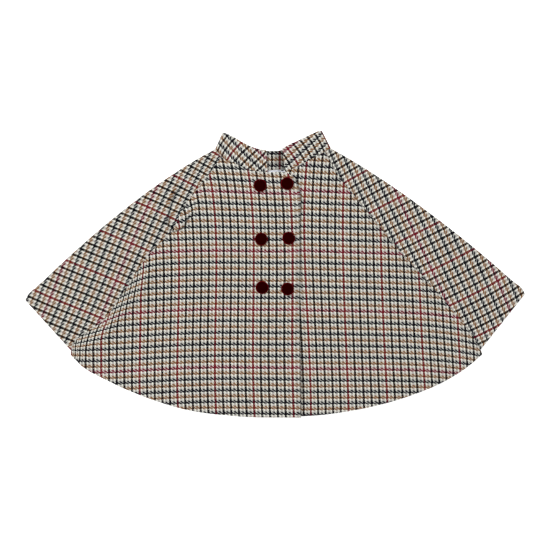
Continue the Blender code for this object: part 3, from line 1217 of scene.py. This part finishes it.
@dataclass(frozen=True)
class FloorFinish:
    """Plain white paper, lit a little from below so that it stays clear of shadow."""

    name: str = "pale_floor"
    colour: Colour = (0.93, 0.93, 0.93)
    glow: float = 0.42
    roughness: float = 0.9
    gloss: float = 0.1

    def material(self) -> bpy.types.Material:
        """Makes the material.

        Returns:
            The material.
        """
        graph = Graph(self.name)
        return graph.finish(
            Base_Color=self.colour,
            Roughness=self.roughness,
            Specular_IOR_Level=self.gloss,
            Emission_Color=(1.0, 1.0, 1.0),
            Emission_Strength=self.glow,
        )


def new_piece(name: str, shape: bmesh.types.BMesh, material: bpy.types.Material) -> bpy.types.Object:
    """Makes a piece from a shape and frees the shape.

    Args:
        name: The piece's name.
        shape: Its mesh.
        material: Its finish.

    Returns:
        The linked object.
    """
    mesh = bpy.data.meshes.new(name)
    shape.to_mesh(mesh)
    shape.free()
    mesh.shade_smooth()
    mesh.materials.append(material)
    piece = bpy.data.objects.new(name, mesh)
    bpy.context.scene.collection.objects.link(piece)
    return piece


@dataclass
class ClothPiece:
    """A cut piece of cloth: a thin wall on its own surface."""

    node: str
    slot: Slot
    wall: float
    cut: Cut

    @property
    def name(self) -> str:
        """The piece's name."""
        return "cloth_" + self.node

    def surface(self) -> Surface:
        """Gives the cloth's outer side; each kind of piece has its own."""
        raise NotImplementedError

    def build(self, material: bpy.types.Material) -> bpy.types.Object:
        """Builds the wall.

        Args:
            material: The cloth's finish.

        Returns:
            The piece.
        """
        surface = self.surface()
        rows, columns = surface.points.shape[:2]
        shape = bmesh.new()
        bmesh.ops.create_grid(shape, x_segments=columns - 1, y_segments=rows - 1, size=1.0)
        for vertex, place in zip(shape.verts, surface.points.reshape(-1, 3)):
            vertex.co = place
        self._map(shape, surface, columns)
        # Depth of the painted shade, which the wool reads from this attribute.
        depth = np.zeros((rows, columns)) if surface.shaded is None else surface.shaded
        layer = shape.verts.layers.float.new(SHADED)
        for vertex, value in zip(shape.verts, depth.reshape(-1)):
            vertex[layer] = value
        piece = new_piece(self.name, shape, material)
        wall = piece.modifiers.new("wall", "SOLIDIFY")
        wall.thickness = self.wall
        wall.offset = -1.0
        edge = piece.modifiers.new("rounded edge", "BEVEL")
        edge.width = EDGE_SHARE * self.wall
        edge.segments = EDGE_SEGMENTS
        edge.profile = 0.5
        edge.limit_method = "ANGLE"
        edge.angle_limit = EDGE_ANGLE
        edge.use_clamp_overlap = True
        return piece

    def _map(self, shape: bmesh.types.BMesh, surface: Surface, columns: int) -> None:
        """Writes the weave map: each face takes the first chart that reaches its column.

        Args:
            shape: The grid.
            surface: The cloth's outer side.
            columns: Points in a row.
        """
        layer = shape.loops.layers.uv.new(WEAVE_MAP)
        charts = [(last, chart.reshape(-1, 2)) for last, chart in surface.charts]
        shape.verts.index_update()
        for face in shape.faces:
            column = min(vertex.index % columns for vertex in face.verts)
            chart = next(chart for last, chart in charts if column < last)
            for loop in face.loops:
                loop[layer].uv = chart[loop.vert.index]

    def declare(self, piece: bpy.types.Object) -> None:
        """Parents the piece to the body's empty, hides the solid that it stands for and logs how its cloth
        was cut.

        Args:
            piece: The built piece.
        """
        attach(piece, BODY)
        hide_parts(self.node)
        log.info("%s: cloth, cut %.3f by %.3f m", piece.name, self.cut.width, self.cut.length)


@dataclass
class FrontPanel(ClothPiece):
    """A front panel between its side seam and its front edge."""

    side: Side
    seam: Sequence[Station]
    edge: Sequence[Station]
    neckline: Sequence[Station]
    hem: Sequence[Station]
    lie: SeamLie
    grain: GrainMap
    folds: Sequence[Fold]
    creases: Sequence[Crease] = ()
    raised: bool = False
    edge_line: float = math.inf
    edge_stripe: float = 0.5
    # Painted shade along the upper front's free edge: strength and half width.
    edge_shade: float = 0.75
    edge_shade_width: float = 2.6 * MM
    edge_columns: int = 14
    edge_room: float = 0.024
    take_up: float = 0.0
    take_up_width: float = 26.0 * MM
    take_up_from: float = 0.42
    take_up_fade: float = 0.25
    rows: int = 170
    columns: int = 140
    seam_crowding: float = 0.35
    crowd_at: float = 0.32
    crowd_width: float = 0.07
    crowd: float = 0.0
    crowd_steps: int = 2000
    unevenness: float = 0.22 * MM

    def lines(self) -> tuple[Line, Line, Line, Line]:
        """Lays the panel's outlines.

        Returns:
            The seam, front edge, neckline and hem.
        """
        gap = -self.side.value * SEAM_GAP / 2.0
        seam = moved_off(smooth_line(self.seam), gap)
        neckline = smooth_line(self.neckline, "seam", "front corner")
        return seam, smooth_line(self.edge), neckline, smooth_line(self.hem)

    def heights(self, spots: Array) -> Array:
        """Gives the outer side's height: folds, the drop to the seam and the pressed hem.

        Args:
            spots: Plan places in metres, (..., 2).

        Returns:
            Heights in metres.
        """
        seam, _, _, hem = self.lines()
        height = UPPER_TOP + softness(spots, self.side.value, self.unevenness)
        for fold in (*self.folds, *self.creases):
            height = height + fold.heights(spots)
        to_seam = ease(beside(samples(seam), spots)[0] / self.lie.front_roll)
        to_hem = ease(beside(samples(hem), spots)[0] / HEM_PRESS)
        height = self.lie.front_top + (height - self.lie.front_top) * to_seam
        height = HEM_TOP + (height - HEM_TOP) * to_hem
        return height + (lift(spots[..., 0]) if self.raised else 0.0)

    def surface(self) -> Surface:
        """Lays the outer side.

        Returns:
            Rows from the collar to the hem, each from the seam to the front edge, or turned round.
        """
        seam, edge, top, bottom = self.lines()
        s, t = self.fractions(), self.crossings()
        spots = ruled(seam(s), edge(s), t, (top, 1.0 - s), (bottom, s))
        points = at_height(spots, self.heights(spots))
        flat = self.taken_up(spots, samples(seam))
        for crease in self.creases:
            flat = crease.slipped(flat, samples(seam))
        chart = self.grain.at(flat)
        chart[..., 0] = np.where(chart[..., 0] > self.edge_line, self.edge_stripe, chart[..., 0])
        # Painted shade along the upper front's free edge, on both fronts, and along the creases.
        from_edge = beside(samples(smooth_line(RIGHT_FRONT_EDGE)), spots)[0]
        shaded = self.edge_shade * np.exp(-((from_edge / self.edge_shade_width) ** 2))
        for crease in self.creases:
            shaded = np.maximum(shaded, crease.shaded(spots))
        made = Surface(points, [(self.columns, chart)], shaded)
        return made.turned() if self.side is Side.RIGHT else made

    def fractions(self) -> Array:
        """Spaces the rows.

        Returns:
            Fractions down the panel, crowded where a crease needs them.
        """
        fine = np.linspace(0.0, 1.0, self.crowd_steps + 1)
        weight = 1.0 + self.crowd * np.exp(-(((fine - self.crowd_at) / self.crowd_width) ** 2))
        travel = np.concatenate(([0.0], np.cumsum(0.5 * (weight[1:] + weight[:-1]))))
        return np.interp(np.linspace(0.0, travel[-1], self.rows + 1), travel, fine)

    def crossings(self) -> Array:
        """Spaces the columns.

        Returns:
            Fractions across the panel, crowded at the seam and again at the front edge.
        """
        t = np.linspace(0.0, 1.0, self.columns - self.edge_columns + 1)
        t = (t + self.seam_crowding * (t * t - t)) * (1.0 - self.edge_room)
        return np.concatenate((t[:-1], np.linspace(1.0 - self.edge_room, 1.0, self.edge_columns + 1)))

    def taken_up(self, spots: Array, seam: Array) -> Array:
        """Gives the places on the flat cloth, which runs on past the seam where it rolls down to it.

        Args:
            spots: Plan places, (..., 2).
            seam: The seam's points.

        Returns:
            Places moved towards the seam by the length that the roll takes up.
        """
        distance, _, along = beside(seam, spots)
        way = np.diff(seam, axis=0)
        way = way / np.linalg.norm(way, axis=1, keepdims=True)
        index = np.clip((along * len(way)).astype(int), 0, len(way) - 1)
        outward = np.stack((way[index][..., 1], -way[index][..., 0]), axis=-1) * -self.side.value
        near = np.clip(1.0 - distance / self.take_up_width, 0.0, 1.0)
        lower = ease((along - self.take_up_from) / self.take_up_fade)
        return spots + outward * (self.take_up * near * near * lower)[..., None]


@dataclass
class SidePanel(ClothPiece):
    """A side panel: upper layer, round fold at the outer edge, lower layer on the surface."""

    side: Side
    seam: Sequence[Station]
    fold: Sequence[Station]
    neckline: Sequence[Station]
    lie: SeamLie
    grain: GrainMap
    folds: Sequence[Fold]
    creases: Sequence[Crease] = ()
    rows: int = 150
    upper_columns: int = 100
    lower_columns: int = 40
    fold_steps: int = 14
    seam_crowding: float = 0.3
    unevenness: float = 0.2 * MM

    def surface(self) -> Surface:
        """Lays the outer side.

        Returns:
            Rows from the collar to the hem, each from the seam round the fold to the back seam,
            or turned round.
        """
        places = np.array([(station.across, station.up) for station in self.seam])
        lengths = np.cumsum(np.linalg.norm(np.diff(places, axis=0), axis=1))
        side_hem = lengths[-2] / lengths[-1]
        seam = moved_off(smooth_line(self.seam), self.side.value * SEAM_GAP / 2.0)
        fold = smooth_line(self.fold)
        top = smooth_line(self.neckline, "seam", "collar fold")
        s = np.linspace(0.0, 1.0, self.rows + 1)
        inner = seam(s * side_hem)
        edge = fold(s)
        outward = edge - inner
        outward = outward / np.linalg.norm(outward, axis=1, keepdims=True)
        centre = edge - outward * FOLD_RADIUS
        upper, upper_spots = self._upper(inner, centre, top, s, samples(seam))
        turn, turned = rounded(centre, outward, FOLD_RADIUS, self.fold_steps)
        lower, lower_travel = self._lower(inner, centre, top, s)
        points = np.concatenate((upper, turn, lower), axis=1)
        travel = np.concatenate((np.tile(turned, (len(s), 1)), lower_travel + math.pi * FOLD_RADIUS), axis=1)
        past = np.stack([self.grain.beyond(*row) for row in zip(centre, outward, travel)])
        # Painted shade along the creases.
        shaded = np.zeros(points.shape[:-1])
        for crease in self.creases:
            shaded[:, : upper.shape[1]] += crease.shaded(upper_spots)
            upper_spots = crease.slipped(upper_spots, samples(seam))
        chart = np.concatenate((self.grain.at(upper_spots), past), axis=1)
        made = Surface(points, [(points.shape[1], chart)], shaded)
        return made if self.side is Side.RIGHT else made.turned()

    def _upper(self, inner: Array, centre: Array, top: Line, s: Array, seam: Array) -> tuple[Array, Array]:
        """Lays the upper layer from the seam to the start of the fold.

        Args:
            inner: Seam places, one a row.
            centre: Fold centres, one a row.
            top: The neck end's line.
            s: Fractions down the panel.
            seam: The seam's points.

        Returns:
            Points and their plan places.
        """
        t = np.linspace(0.0, 1.0, self.upper_columns + 1)[:-1]
        t = t + self.seam_crowding * (t * t - t)
        spots = ruled(inner, centre, t, (top, 1.0 - s))
        drop = ease(beside(seam, spots)[0] / self.lie.side_roll)
        crown = softness(spots, 3.0 * self.side.value, self.unevenness)
        for fold in (*self.folds, *self.creases):
            crown = crown + fold.heights(spots)
        crown = crown * ease(2.0 - 2.0 * t)[None, :]
        height = self.lie.side_top + (UPPER_TOP + crown - self.lie.side_top) * drop
        return at_height(spots, height), spots

    def _lower(self, inner: Array, centre: Array, top: Line, s: Array) -> tuple[Array, Array]:
        """Lays the lower layer back to the back seam.

        Args:
            inner: Seam places, one a row.
            centre: Fold centres, one a row.
            top: The neck end's line.
            s: Fractions down the panel.

        Returns:
            Points, and lengths of cloth from the end of the turn.
        """
        t = np.linspace(1.0, 0.0, self.lower_columns + 1)[1:]
        back_seam = inner * (1.0 - BACK_SHORTER * s)[:, None]
        spots = ruled(back_seam, centre, t, (top, 1.0 - s))
        travel = np.linalg.norm(spots - centre[:, None], axis=-1)
        return at_height(spots, 0.0), travel


@dataclass
class BackPanel(ClothPiece):
    """The back panel, flat on the surface with its outer side down."""

    rows: int = 80
    columns: int = 110

    def surface(self) -> Surface:
        """Lays the outer side.

        Returns:
            Rows from the neck to the hem, each from right to left.
        """
        right_seam = moved_off(smooth_line(RIGHT_SEAM), SEAM_GAP / 2.0)
        left_seam = moved_off(smooth_line(LEFT_SEAM), -SEAM_GAP / 2.0)
        neck = smooth_line(BACK_NECKLINE, "right seam", "left seam")
        hem = smooth_line(RIGHT_HEM[:-1] + LEFT_HEM[-2::-1])
        s = np.linspace(0.0, 1.0, self.rows + 1)
        t = np.linspace(0.0, 1.0, self.columns + 1)
        shrink = (1.0 - BACK_SHORTER * s)[:, None]
        ends = (neck, 1.0 - s), (hem, (1.0 - BACK_SHORTER) * s)
        spots = ruled(right_seam(s) * shrink, left_seam(s) * shrink, t, *ends)
        return Surface(at_height(spots, 0.0), [(self.columns, BACK_GRAIN.at(spots))])


@dataclass
class Collar(ClothPiece):
    """The stand collar: one strip pressed flat, folded at its two outer corners."""

    inner: bpy.types.Material
    rows: int = 26
    row_crowding: float = 1.3
    front_columns: int = 48
    back_columns: int = 90
    fold_steps: int = 12
    fold_room: float = 1.0 / 18.0
    height: float = 30.0 * MM
    corner_radius: float = 2.6 * MM
    # Painted shade inside the back collar, deepening towards the wearer's left: strength, start and width.
    shade: float = 1.3
    shade_from: float = -10.0 * MM
    shade_width: float = 22.0 * MM

    def build(self, material: bpy.types.Material) -> bpy.types.Object:
        """Builds the wall; its inner side takes the wool with painted shade, its outer side the copy without
        it.

        Args:
            material: The outer side's finish.

        Returns:
            The piece.
        """
        piece = super().build(material)
        piece.data.materials.append(self.inner)
        piece.modifiers["wall"].material_offset = 1
        return piece

    def surface(self) -> Surface:
        """Lays the outer side.

        Returns:
            Rows from the top edge to the neck seam, each along the whole strip.
        """
        right_neck = smooth_line(RIGHT_NECKLINE, "collar end", "collar fold")
        left_neck = smooth_line(LEFT_NECKLINE, "collar end", "collar fold")
        right_top = smooth_line(RIGHT_COLLAR_TOP[::-1])
        left_top = smooth_line(LEFT_COLLAR_TOP[::-1])
        back_neck = smooth_line(BACK_NECKLINE)
        back_top = smooth_line(BACK_COLLAR_TOP)
        end = np.array([0.0])
        gap = NECK_GAP / np.linalg.norm(right_top(end) - right_neck(end))
        points, front_chart, back_chart = [], [], []
        inside = np.linspace(self.fold_room, 1.0 - self.fold_room, self.back_columns - 1)
        for j in range(self.rows + 1):
            up = 1.0 - (1.0 - gap) * (j / self.rows) ** self.row_crowding
            inset = self._inset(up)
            right_line = strip_line(right_neck, right_top, up)
            left_line = strip_line(left_neck, left_top, up)
            right, right_cloth = self._front(right_line, COLLAR_RIGHT_GRAIN, inset)
            left, left_cloth = self._front(left_line, COLLAR_LEFT_GRAIN, inset)
            right[:, 2] += np.where(right[:, 2] >= COLLAR_TOP - TINY, lift(right[:, 0]), 0.0)
            flat = at_height(strip_line(back_neck, back_top, up)(inside), 0.0)
            row = np.concatenate((right, flat, left[::-1]))
            points.append(row)
            back_chart.append(COLLAR_BACK_GRAIN.at(row[:, :2]))
            blank = np.zeros((len(flat), 2))
            front_chart.append(np.concatenate((right_cloth, blank, left_cloth[::-1])))
        first = self.front_columns + self.fold_steps
        second = first + self.back_columns
        laid, front, inner = np.array(points), np.array(front_chart), np.array(back_chart)
        charts = [(first, front), (second, inner), (laid.shape[1], front)]
        # Painted shade on the back of the strip only.
        is_back = laid[..., 2] < 0.5 * COLLAR_FOLD_RADIUS
        shaded = self.shade * ease((laid[..., 0] - self.shade_from) / self.shade_width) * is_back
        return Surface(laid, charts, shaded)

    def _inset(self, up: float) -> float:
        """Gives how far the fold stands in from its edge at a height, to round the corner at the top."""
        past = max(0.0, 1.0 - (1.0 - up) * self.height / self.corner_radius)
        return self.corner_radius * (1.0 - math.sqrt(1.0 - past * past))

    def _front(self, line: Line, grain: GrainMap, inset: float) -> tuple[Array, Array]:
        """Lays one front half of the strip and rounds its fold.

        Args:
            line: The strip's line from the collar end to the fold.
            grain: How the check lies on it.
            inset: How far the fold stands in from the line's end.

        Returns:
            Points and their places on the cloth.
        """
        tip, end = line(np.array([1.0, 0.0]))
        chord = np.linalg.norm(tip - end)
        share = 1.0 - (inset + COLLAR_FOLD_RADIUS) / chord
        edge, before = line(np.array([1.0 - inset / chord, share]))
        outward = (edge - before) / np.linalg.norm(edge - before)
        centre = edge - outward * COLLAR_FOLD_RADIUS
        spots = line(np.linspace(0.0, share, self.front_columns + 1)[:-1])
        turn, travel = rounded(centre[None], outward[None], COLLAR_FOLD_RADIUS, self.fold_steps)
        cloth = np.concatenate((grain.at(spots), grain.beyond(centre, outward, travel)))
        return np.concatenate((at_height(spots, COLLAR_TOP), turn[0])), cloth


@dataclass
class NeckLining(ClothPiece):
    """The plain satin strip inside the back neck."""

    half_width: float = 24.0 * MM
    length: float = 18.0 * MM
    dip: float = 2.4 * MM
    dip_from: float = 1.0 * MM
    dip_width: float = 13.0 * MM
    rows: int = 18
    columns: int = 40

    def surface(self) -> Surface:
        """Lays the outer side.

        Returns:
            Rows from the lower edge up to the neck seam, where it sags on the left.
        """
        curve = samples(smooth_line(BACK_NECKLINE, "right seam", "left seam"))
        across = np.linspace(-self.half_width, self.half_width, self.columns + 1)
        up = np.interp(across, curve[:, 0], curve[:, 1])
        up = up - self.dip * ease((across - self.dip_from) / self.dip_width)
        down = NECK_GAP + self.length * np.linspace(1.0, 0.0, self.rows + 1)
        top = WOOL_WALL + SEAM_GAP + SATIN_WALL
        points = np.empty((self.rows + 1, self.columns + 1, 3))
        points[..., 0] = across[None]
        points[..., 1] = up[None] - down[:, None]
        points[..., 2] = top
        return Surface(points, [(self.columns, points[..., :2] / LINE_PITCH)])


@dataclass
class CoveredButton:
    """A domed button covered in velvet, seated on the upper front."""

    node: str
    across: float
    up: float
    front: FrontPanel
    diameter: float = 18.8 * MM
    height: float = 5.2 * MM
    rim: float = 1.6 * MM
    waist_drop: float = 0.9 * MM
    waist_inset: float = 0.4 * MM
    waist_turn: float = 0.3
    base_inset: float = 1.3 * MM
    turns: int = 72
    dome_steps: int = 18
    # Painted sheen: where the lighter rim starts, as a share of the radius, and how wide it is.
    painted_sheen_from: float = 0.82
    painted_sheen_width: float = 0.16
    pucker: float = 0.06 * MM
    pucker_from: float = 0.6
    pucker_waves: tuple[float, float] = (17.0, 29.0)
    pucker_second: float = 0.6

    def profile(self) -> list[tuple[float, float]]:
        """Draws the outline.

        Returns:
            Radius and height of its points, from the crown down to the base.
        """
        radius = self.diameter / 2.0
        dome = self.height - self.rim
        angles = [0.5 * math.pi * i / self.dome_steps for i in range(self.dome_steps + 1)]
        points = [(radius * math.sin(a), self.rim + dome * math.cos(a)) for a in angles]
        points.append((radius - self.waist_turn * self.waist_inset, self.rim - 0.5 * self.waist_drop))
        points.append((radius - self.waist_inset, self.rim - self.waist_drop))
        points.append((radius - self.base_inset, 0.0))
        points.append((0.0, 0.0))
        return points

    def build(self, material: bpy.types.Material) -> bpy.types.Object:
        """Turns the outline into the button.

        Args:
            material: The velvet.

        Returns:
            The piece.
        """
        shape = bmesh.new()
        verts = [shape.verts.new((x, 0.0, z)) for x, z in self.profile()]
        for pair in zip(verts, verts[1:]):
            shape.edges.new(pair)
        bmesh.ops.spin(
            shape,
            geom=list(shape.verts) + list(shape.edges),
            cent=(0.0, 0.0, 0.0),
            axis=(0.0, 0.0, 1.0),
            angle=2.0 * math.pi,
            steps=self.turns,
            use_merge=True,
        )
        bmesh.ops.remove_doubles(shape, verts=list(shape.verts), dist=WELD)
        bmesh.ops.recalc_face_normals(shape, faces=list(shape.faces))
        radius = self.diameter / 2.0
        first, second = self.pucker_waves
        # Painted sheen at the rim, written for the velvet to read.
        layer = shape.verts.layers.float.new(PAINTED_SHEEN_RIM)
        for vertex in shape.verts:
            reach = math.hypot(vertex.co.x, vertex.co.y) / radius
            vertex[layer] = float(ease(np.array((reach - self.painted_sheen_from) / self.painted_sheen_width)))
            around = math.atan2(vertex.co.y, vertex.co.x)
            wave = math.sin(first * around + self.across)
            wave += self.pucker_second * math.sin(second * around + self.up)
            vertex.co.xy *= 1.0 + self.pucker / radius * wave * max(0.0, reach - self.pucker_from)
        spot = np.array((self.across, self.up)) * MM
        seat = float(self.front.heights(spot[None])[0]) + SEAM_GAP
        bmesh.ops.translate(shape, verts=list(shape.verts), vec=(spot[0], spot[1], seat))
        return new_piece("velvet_" + self.node, shape, material)

    def declare(self, piece: bpy.types.Object) -> None:
        """Parents the button to the body's empty, hides the solid that it stands for and logs its name.

        Args:
            piece: The built button.
        """
        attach(piece, BODY)
        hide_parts(self.node)
        log.info("%s: covered button", piece.name)


@dataclass
class Studio:
    """The pale floor, soft lights and the camera straight above."""

    frame_width: float = 0.7975
    focus_height: float = 4.0 * MM
    view_up: float = -1.8 * MM
    lens: float = 100.0
    sensor: float = 36.0
    view_depth: float = 50.0
    floor_size: float = 6.0
    floor_steps: int = 4
    floor_drop: float = 0.2 * MM
    ambient: float = 0.36
    key_power: float = 133.0
    key_size: float = 1.8
    key_place: tuple[float, float, float] = (-1.5, 1.2, 2.8)
    fill_share: float = 0.4
    fill_place: tuple[float, float, float] = (1.3, -0.6, 3.0)

    def build(self) -> None:
        """Makes the floor, lights, world and camera."""
        shape = bmesh.new()
        steps = self.floor_steps
        bmesh.ops.create_grid(shape, x_segments=steps, y_segments=steps, size=self.floor_size)
        bmesh.ops.translate(shape, verts=list(shape.verts), vec=(0.0, 0.0, -self.floor_drop))
        new_piece("floor", shape, FloorFinish().material())
        self._world()
        self._light("key", self.key_place, self.key_power)
        self._light("fill", self.fill_place, self.fill_share * self.key_power)
        self._camera()

    def _world(self) -> None:
        """Sets an even pale surround."""
        world = bpy.data.worlds.new("studio")
        world.use_nodes = True
        ground = world.node_tree.nodes["Background"]
        ground.inputs["Color"].default_value = (1.0, 1.0, 1.0, 1.0)
        ground.inputs["Strength"].default_value = self.ambient
        bpy.context.scene.world = world
        bpy.context.scene.view_settings.view_transform = "Standard"

    def _light(self, name: str, place: tuple[float, float, float], power: float) -> None:
        """Hangs a square soft light that faces the cape.

        Args:
            name: Its name.
            place: Where it hangs, in metres.
            power: Its power in watts.
        """
        data = bpy.data.lights.new(name, "AREA")
        data.energy = power
        data.size = self.key_size
        lamp = bpy.data.objects.new(name, data)
        lamp.location = place
        lamp.rotation_euler = (-Vector(place)).to_track_quat("-Z", "Y").to_euler()
        bpy.context.scene.collection.objects.link(lamp)

    def _camera(self) -> None:
        """Hangs the camera so that the frame's width is right at the cloth."""
        data = bpy.data.cameras.new("camera")
        data.lens = self.lens
        data.sensor_width = self.sensor
        data.clip_end = self.view_depth
        camera = bpy.data.objects.new("camera", data)
        distance = self.frame_width * self.lens / self.sensor
        camera.location = (0.0, self.view_up, self.focus_height + distance)
        bpy.context.scene.collection.objects.link(camera)
        bpy.context.scene.camera = camera


def fronts() -> tuple[FrontPanel, FrontPanel]:
    """Names the two fronts.

    Returns:
        The upper right front and the lower left front.
    """
    right = FrontPanel(
        "front_right", Slot.WOOL, WOOL_WALL, Cut(0.341, 0.379, 0.0842, Held.LAID, ("front_left", "back")),
        side=Side.RIGHT, seam=RIGHT_SEAM, edge=RIGHT_FRONT_EDGE, neckline=RIGHT_NECKLINE, hem=RIGHT_HEM,
        lie=RIGHT_LIE, grain=FRONT_RIGHT_GRAIN, folds=FRONT_RIGHT_FOLDS, creases=(TUCK_CREASE,), raised=True,
        edge_line=5.83, edge_stripe=5.5, take_up=16.0 * MM, rows=220, crowd=3.0,
    )
    left = FrontPanel(
        "front_left", Slot.WOOL, WOOL_WALL, Cut(0.340, 0.385, 0.0855, Held.LAID, ("back",)),
        side=Side.LEFT, seam=LEFT_SEAM, edge=LEFT_FRONT_EDGE, neckline=LEFT_NECKLINE, hem=LEFT_HEM,
        lie=LEFT_LIE, grain=FRONT_LEFT_GRAIN, folds=FRONT_LEFT_FOLDS,
    )
    return right, left


def sides() -> tuple[SidePanel, SidePanel]:
    """Names the two side panels.

    Returns:
        The right one and the left one.
    """
    right = SidePanel(
        "side_right", Slot.WOOL, WOOL_WALL, Cut(0.208, 0.360, 0.0510, Held.FOLDED, ("back",)),
        side=Side.RIGHT, seam=RIGHT_SEAM, fold=RIGHT_FOLD, neckline=RIGHT_NECKLINE, lie=RIGHT_LIE,
        grain=SIDE_RIGHT_GRAIN, folds=SIDE_RIGHT_FOLDS, creases=(ARM_CREASE,),
    )
    left = SidePanel(
        "side_left", Slot.WOOL, WOOL_WALL, Cut(0.212, 0.366, 0.0479, Held.FOLDED, ("back",)),
        side=Side.LEFT, seam=LEFT_SEAM, fold=LEFT_FOLD, neckline=LEFT_NECKLINE, lie=LEFT_LIE,
        grain=SIDE_LEFT_GRAIN, folds=SIDE_LEFT_FOLDS,
    )
    return right, left


def buttons(front: FrontPanel) -> list[CoveredButton]:
    """Names the six buttons.

    Args:
        front: The upper front, which carries them.

    Returns:
        The buttons, from the top row down.
    """
    places = (
        ("button_1_right", -21.6, 127.7),
        ("button_1_left", 17.5, 130.4),
        ("button_2_right", -19.9, 50.2),
        ("button_2_left", 19.9, 51.5),
        ("button_3_right", -18.7, -19.9),
        ("button_3_left", 18.1, -22.0),
    )
    return [CoveredButton(name, across, up, front) for name, across, up in places]


def main() -> None:
    """Builds the cape's pieces in order, then the studio."""
    wool = WoolFinish().material()
    velvet = VelvetFinish().material()
    satin = SatinFinish().material()
    right, left = fronts()
    back = BackPanel("back", Slot.WOOL, WOOL_WALL, Cut(0.589, 0.382, 0.1408, Held.LAID, ()))
    for cloth in (back, *sides(), left, right):
        cloth.declare(cloth.build(wool))
    collar_cut = Cut(0.356, 0.035, 0.0100, Held.FOLDED, ("back",))
    collar = Collar("collar", Slot.WOOL, COLLAR_WALL, collar_cut, inner=wool)
    # The collar's outer side takes this copy of the wool, which paints no shade; its inner side takes the
    # wool with painted shade.
    unshaded = WoolFinish(name="checked_wool_unshaded", shade_depth=0.0).material()
    collar.declare(collar.build(unshaded))
    lining_cut = Cut(0.048, 0.022, 0.00086, Held.LAID, ("back",))
    lining = NeckLining("neck_lining", Slot.SATIN, SATIN_WALL, lining_cut)
    lining.declare(lining.build(satin))
    for button in buttons(right):
        button.declare(button.build(velvet))
    Studio().build()


if __name__ == "__main__":
    main()
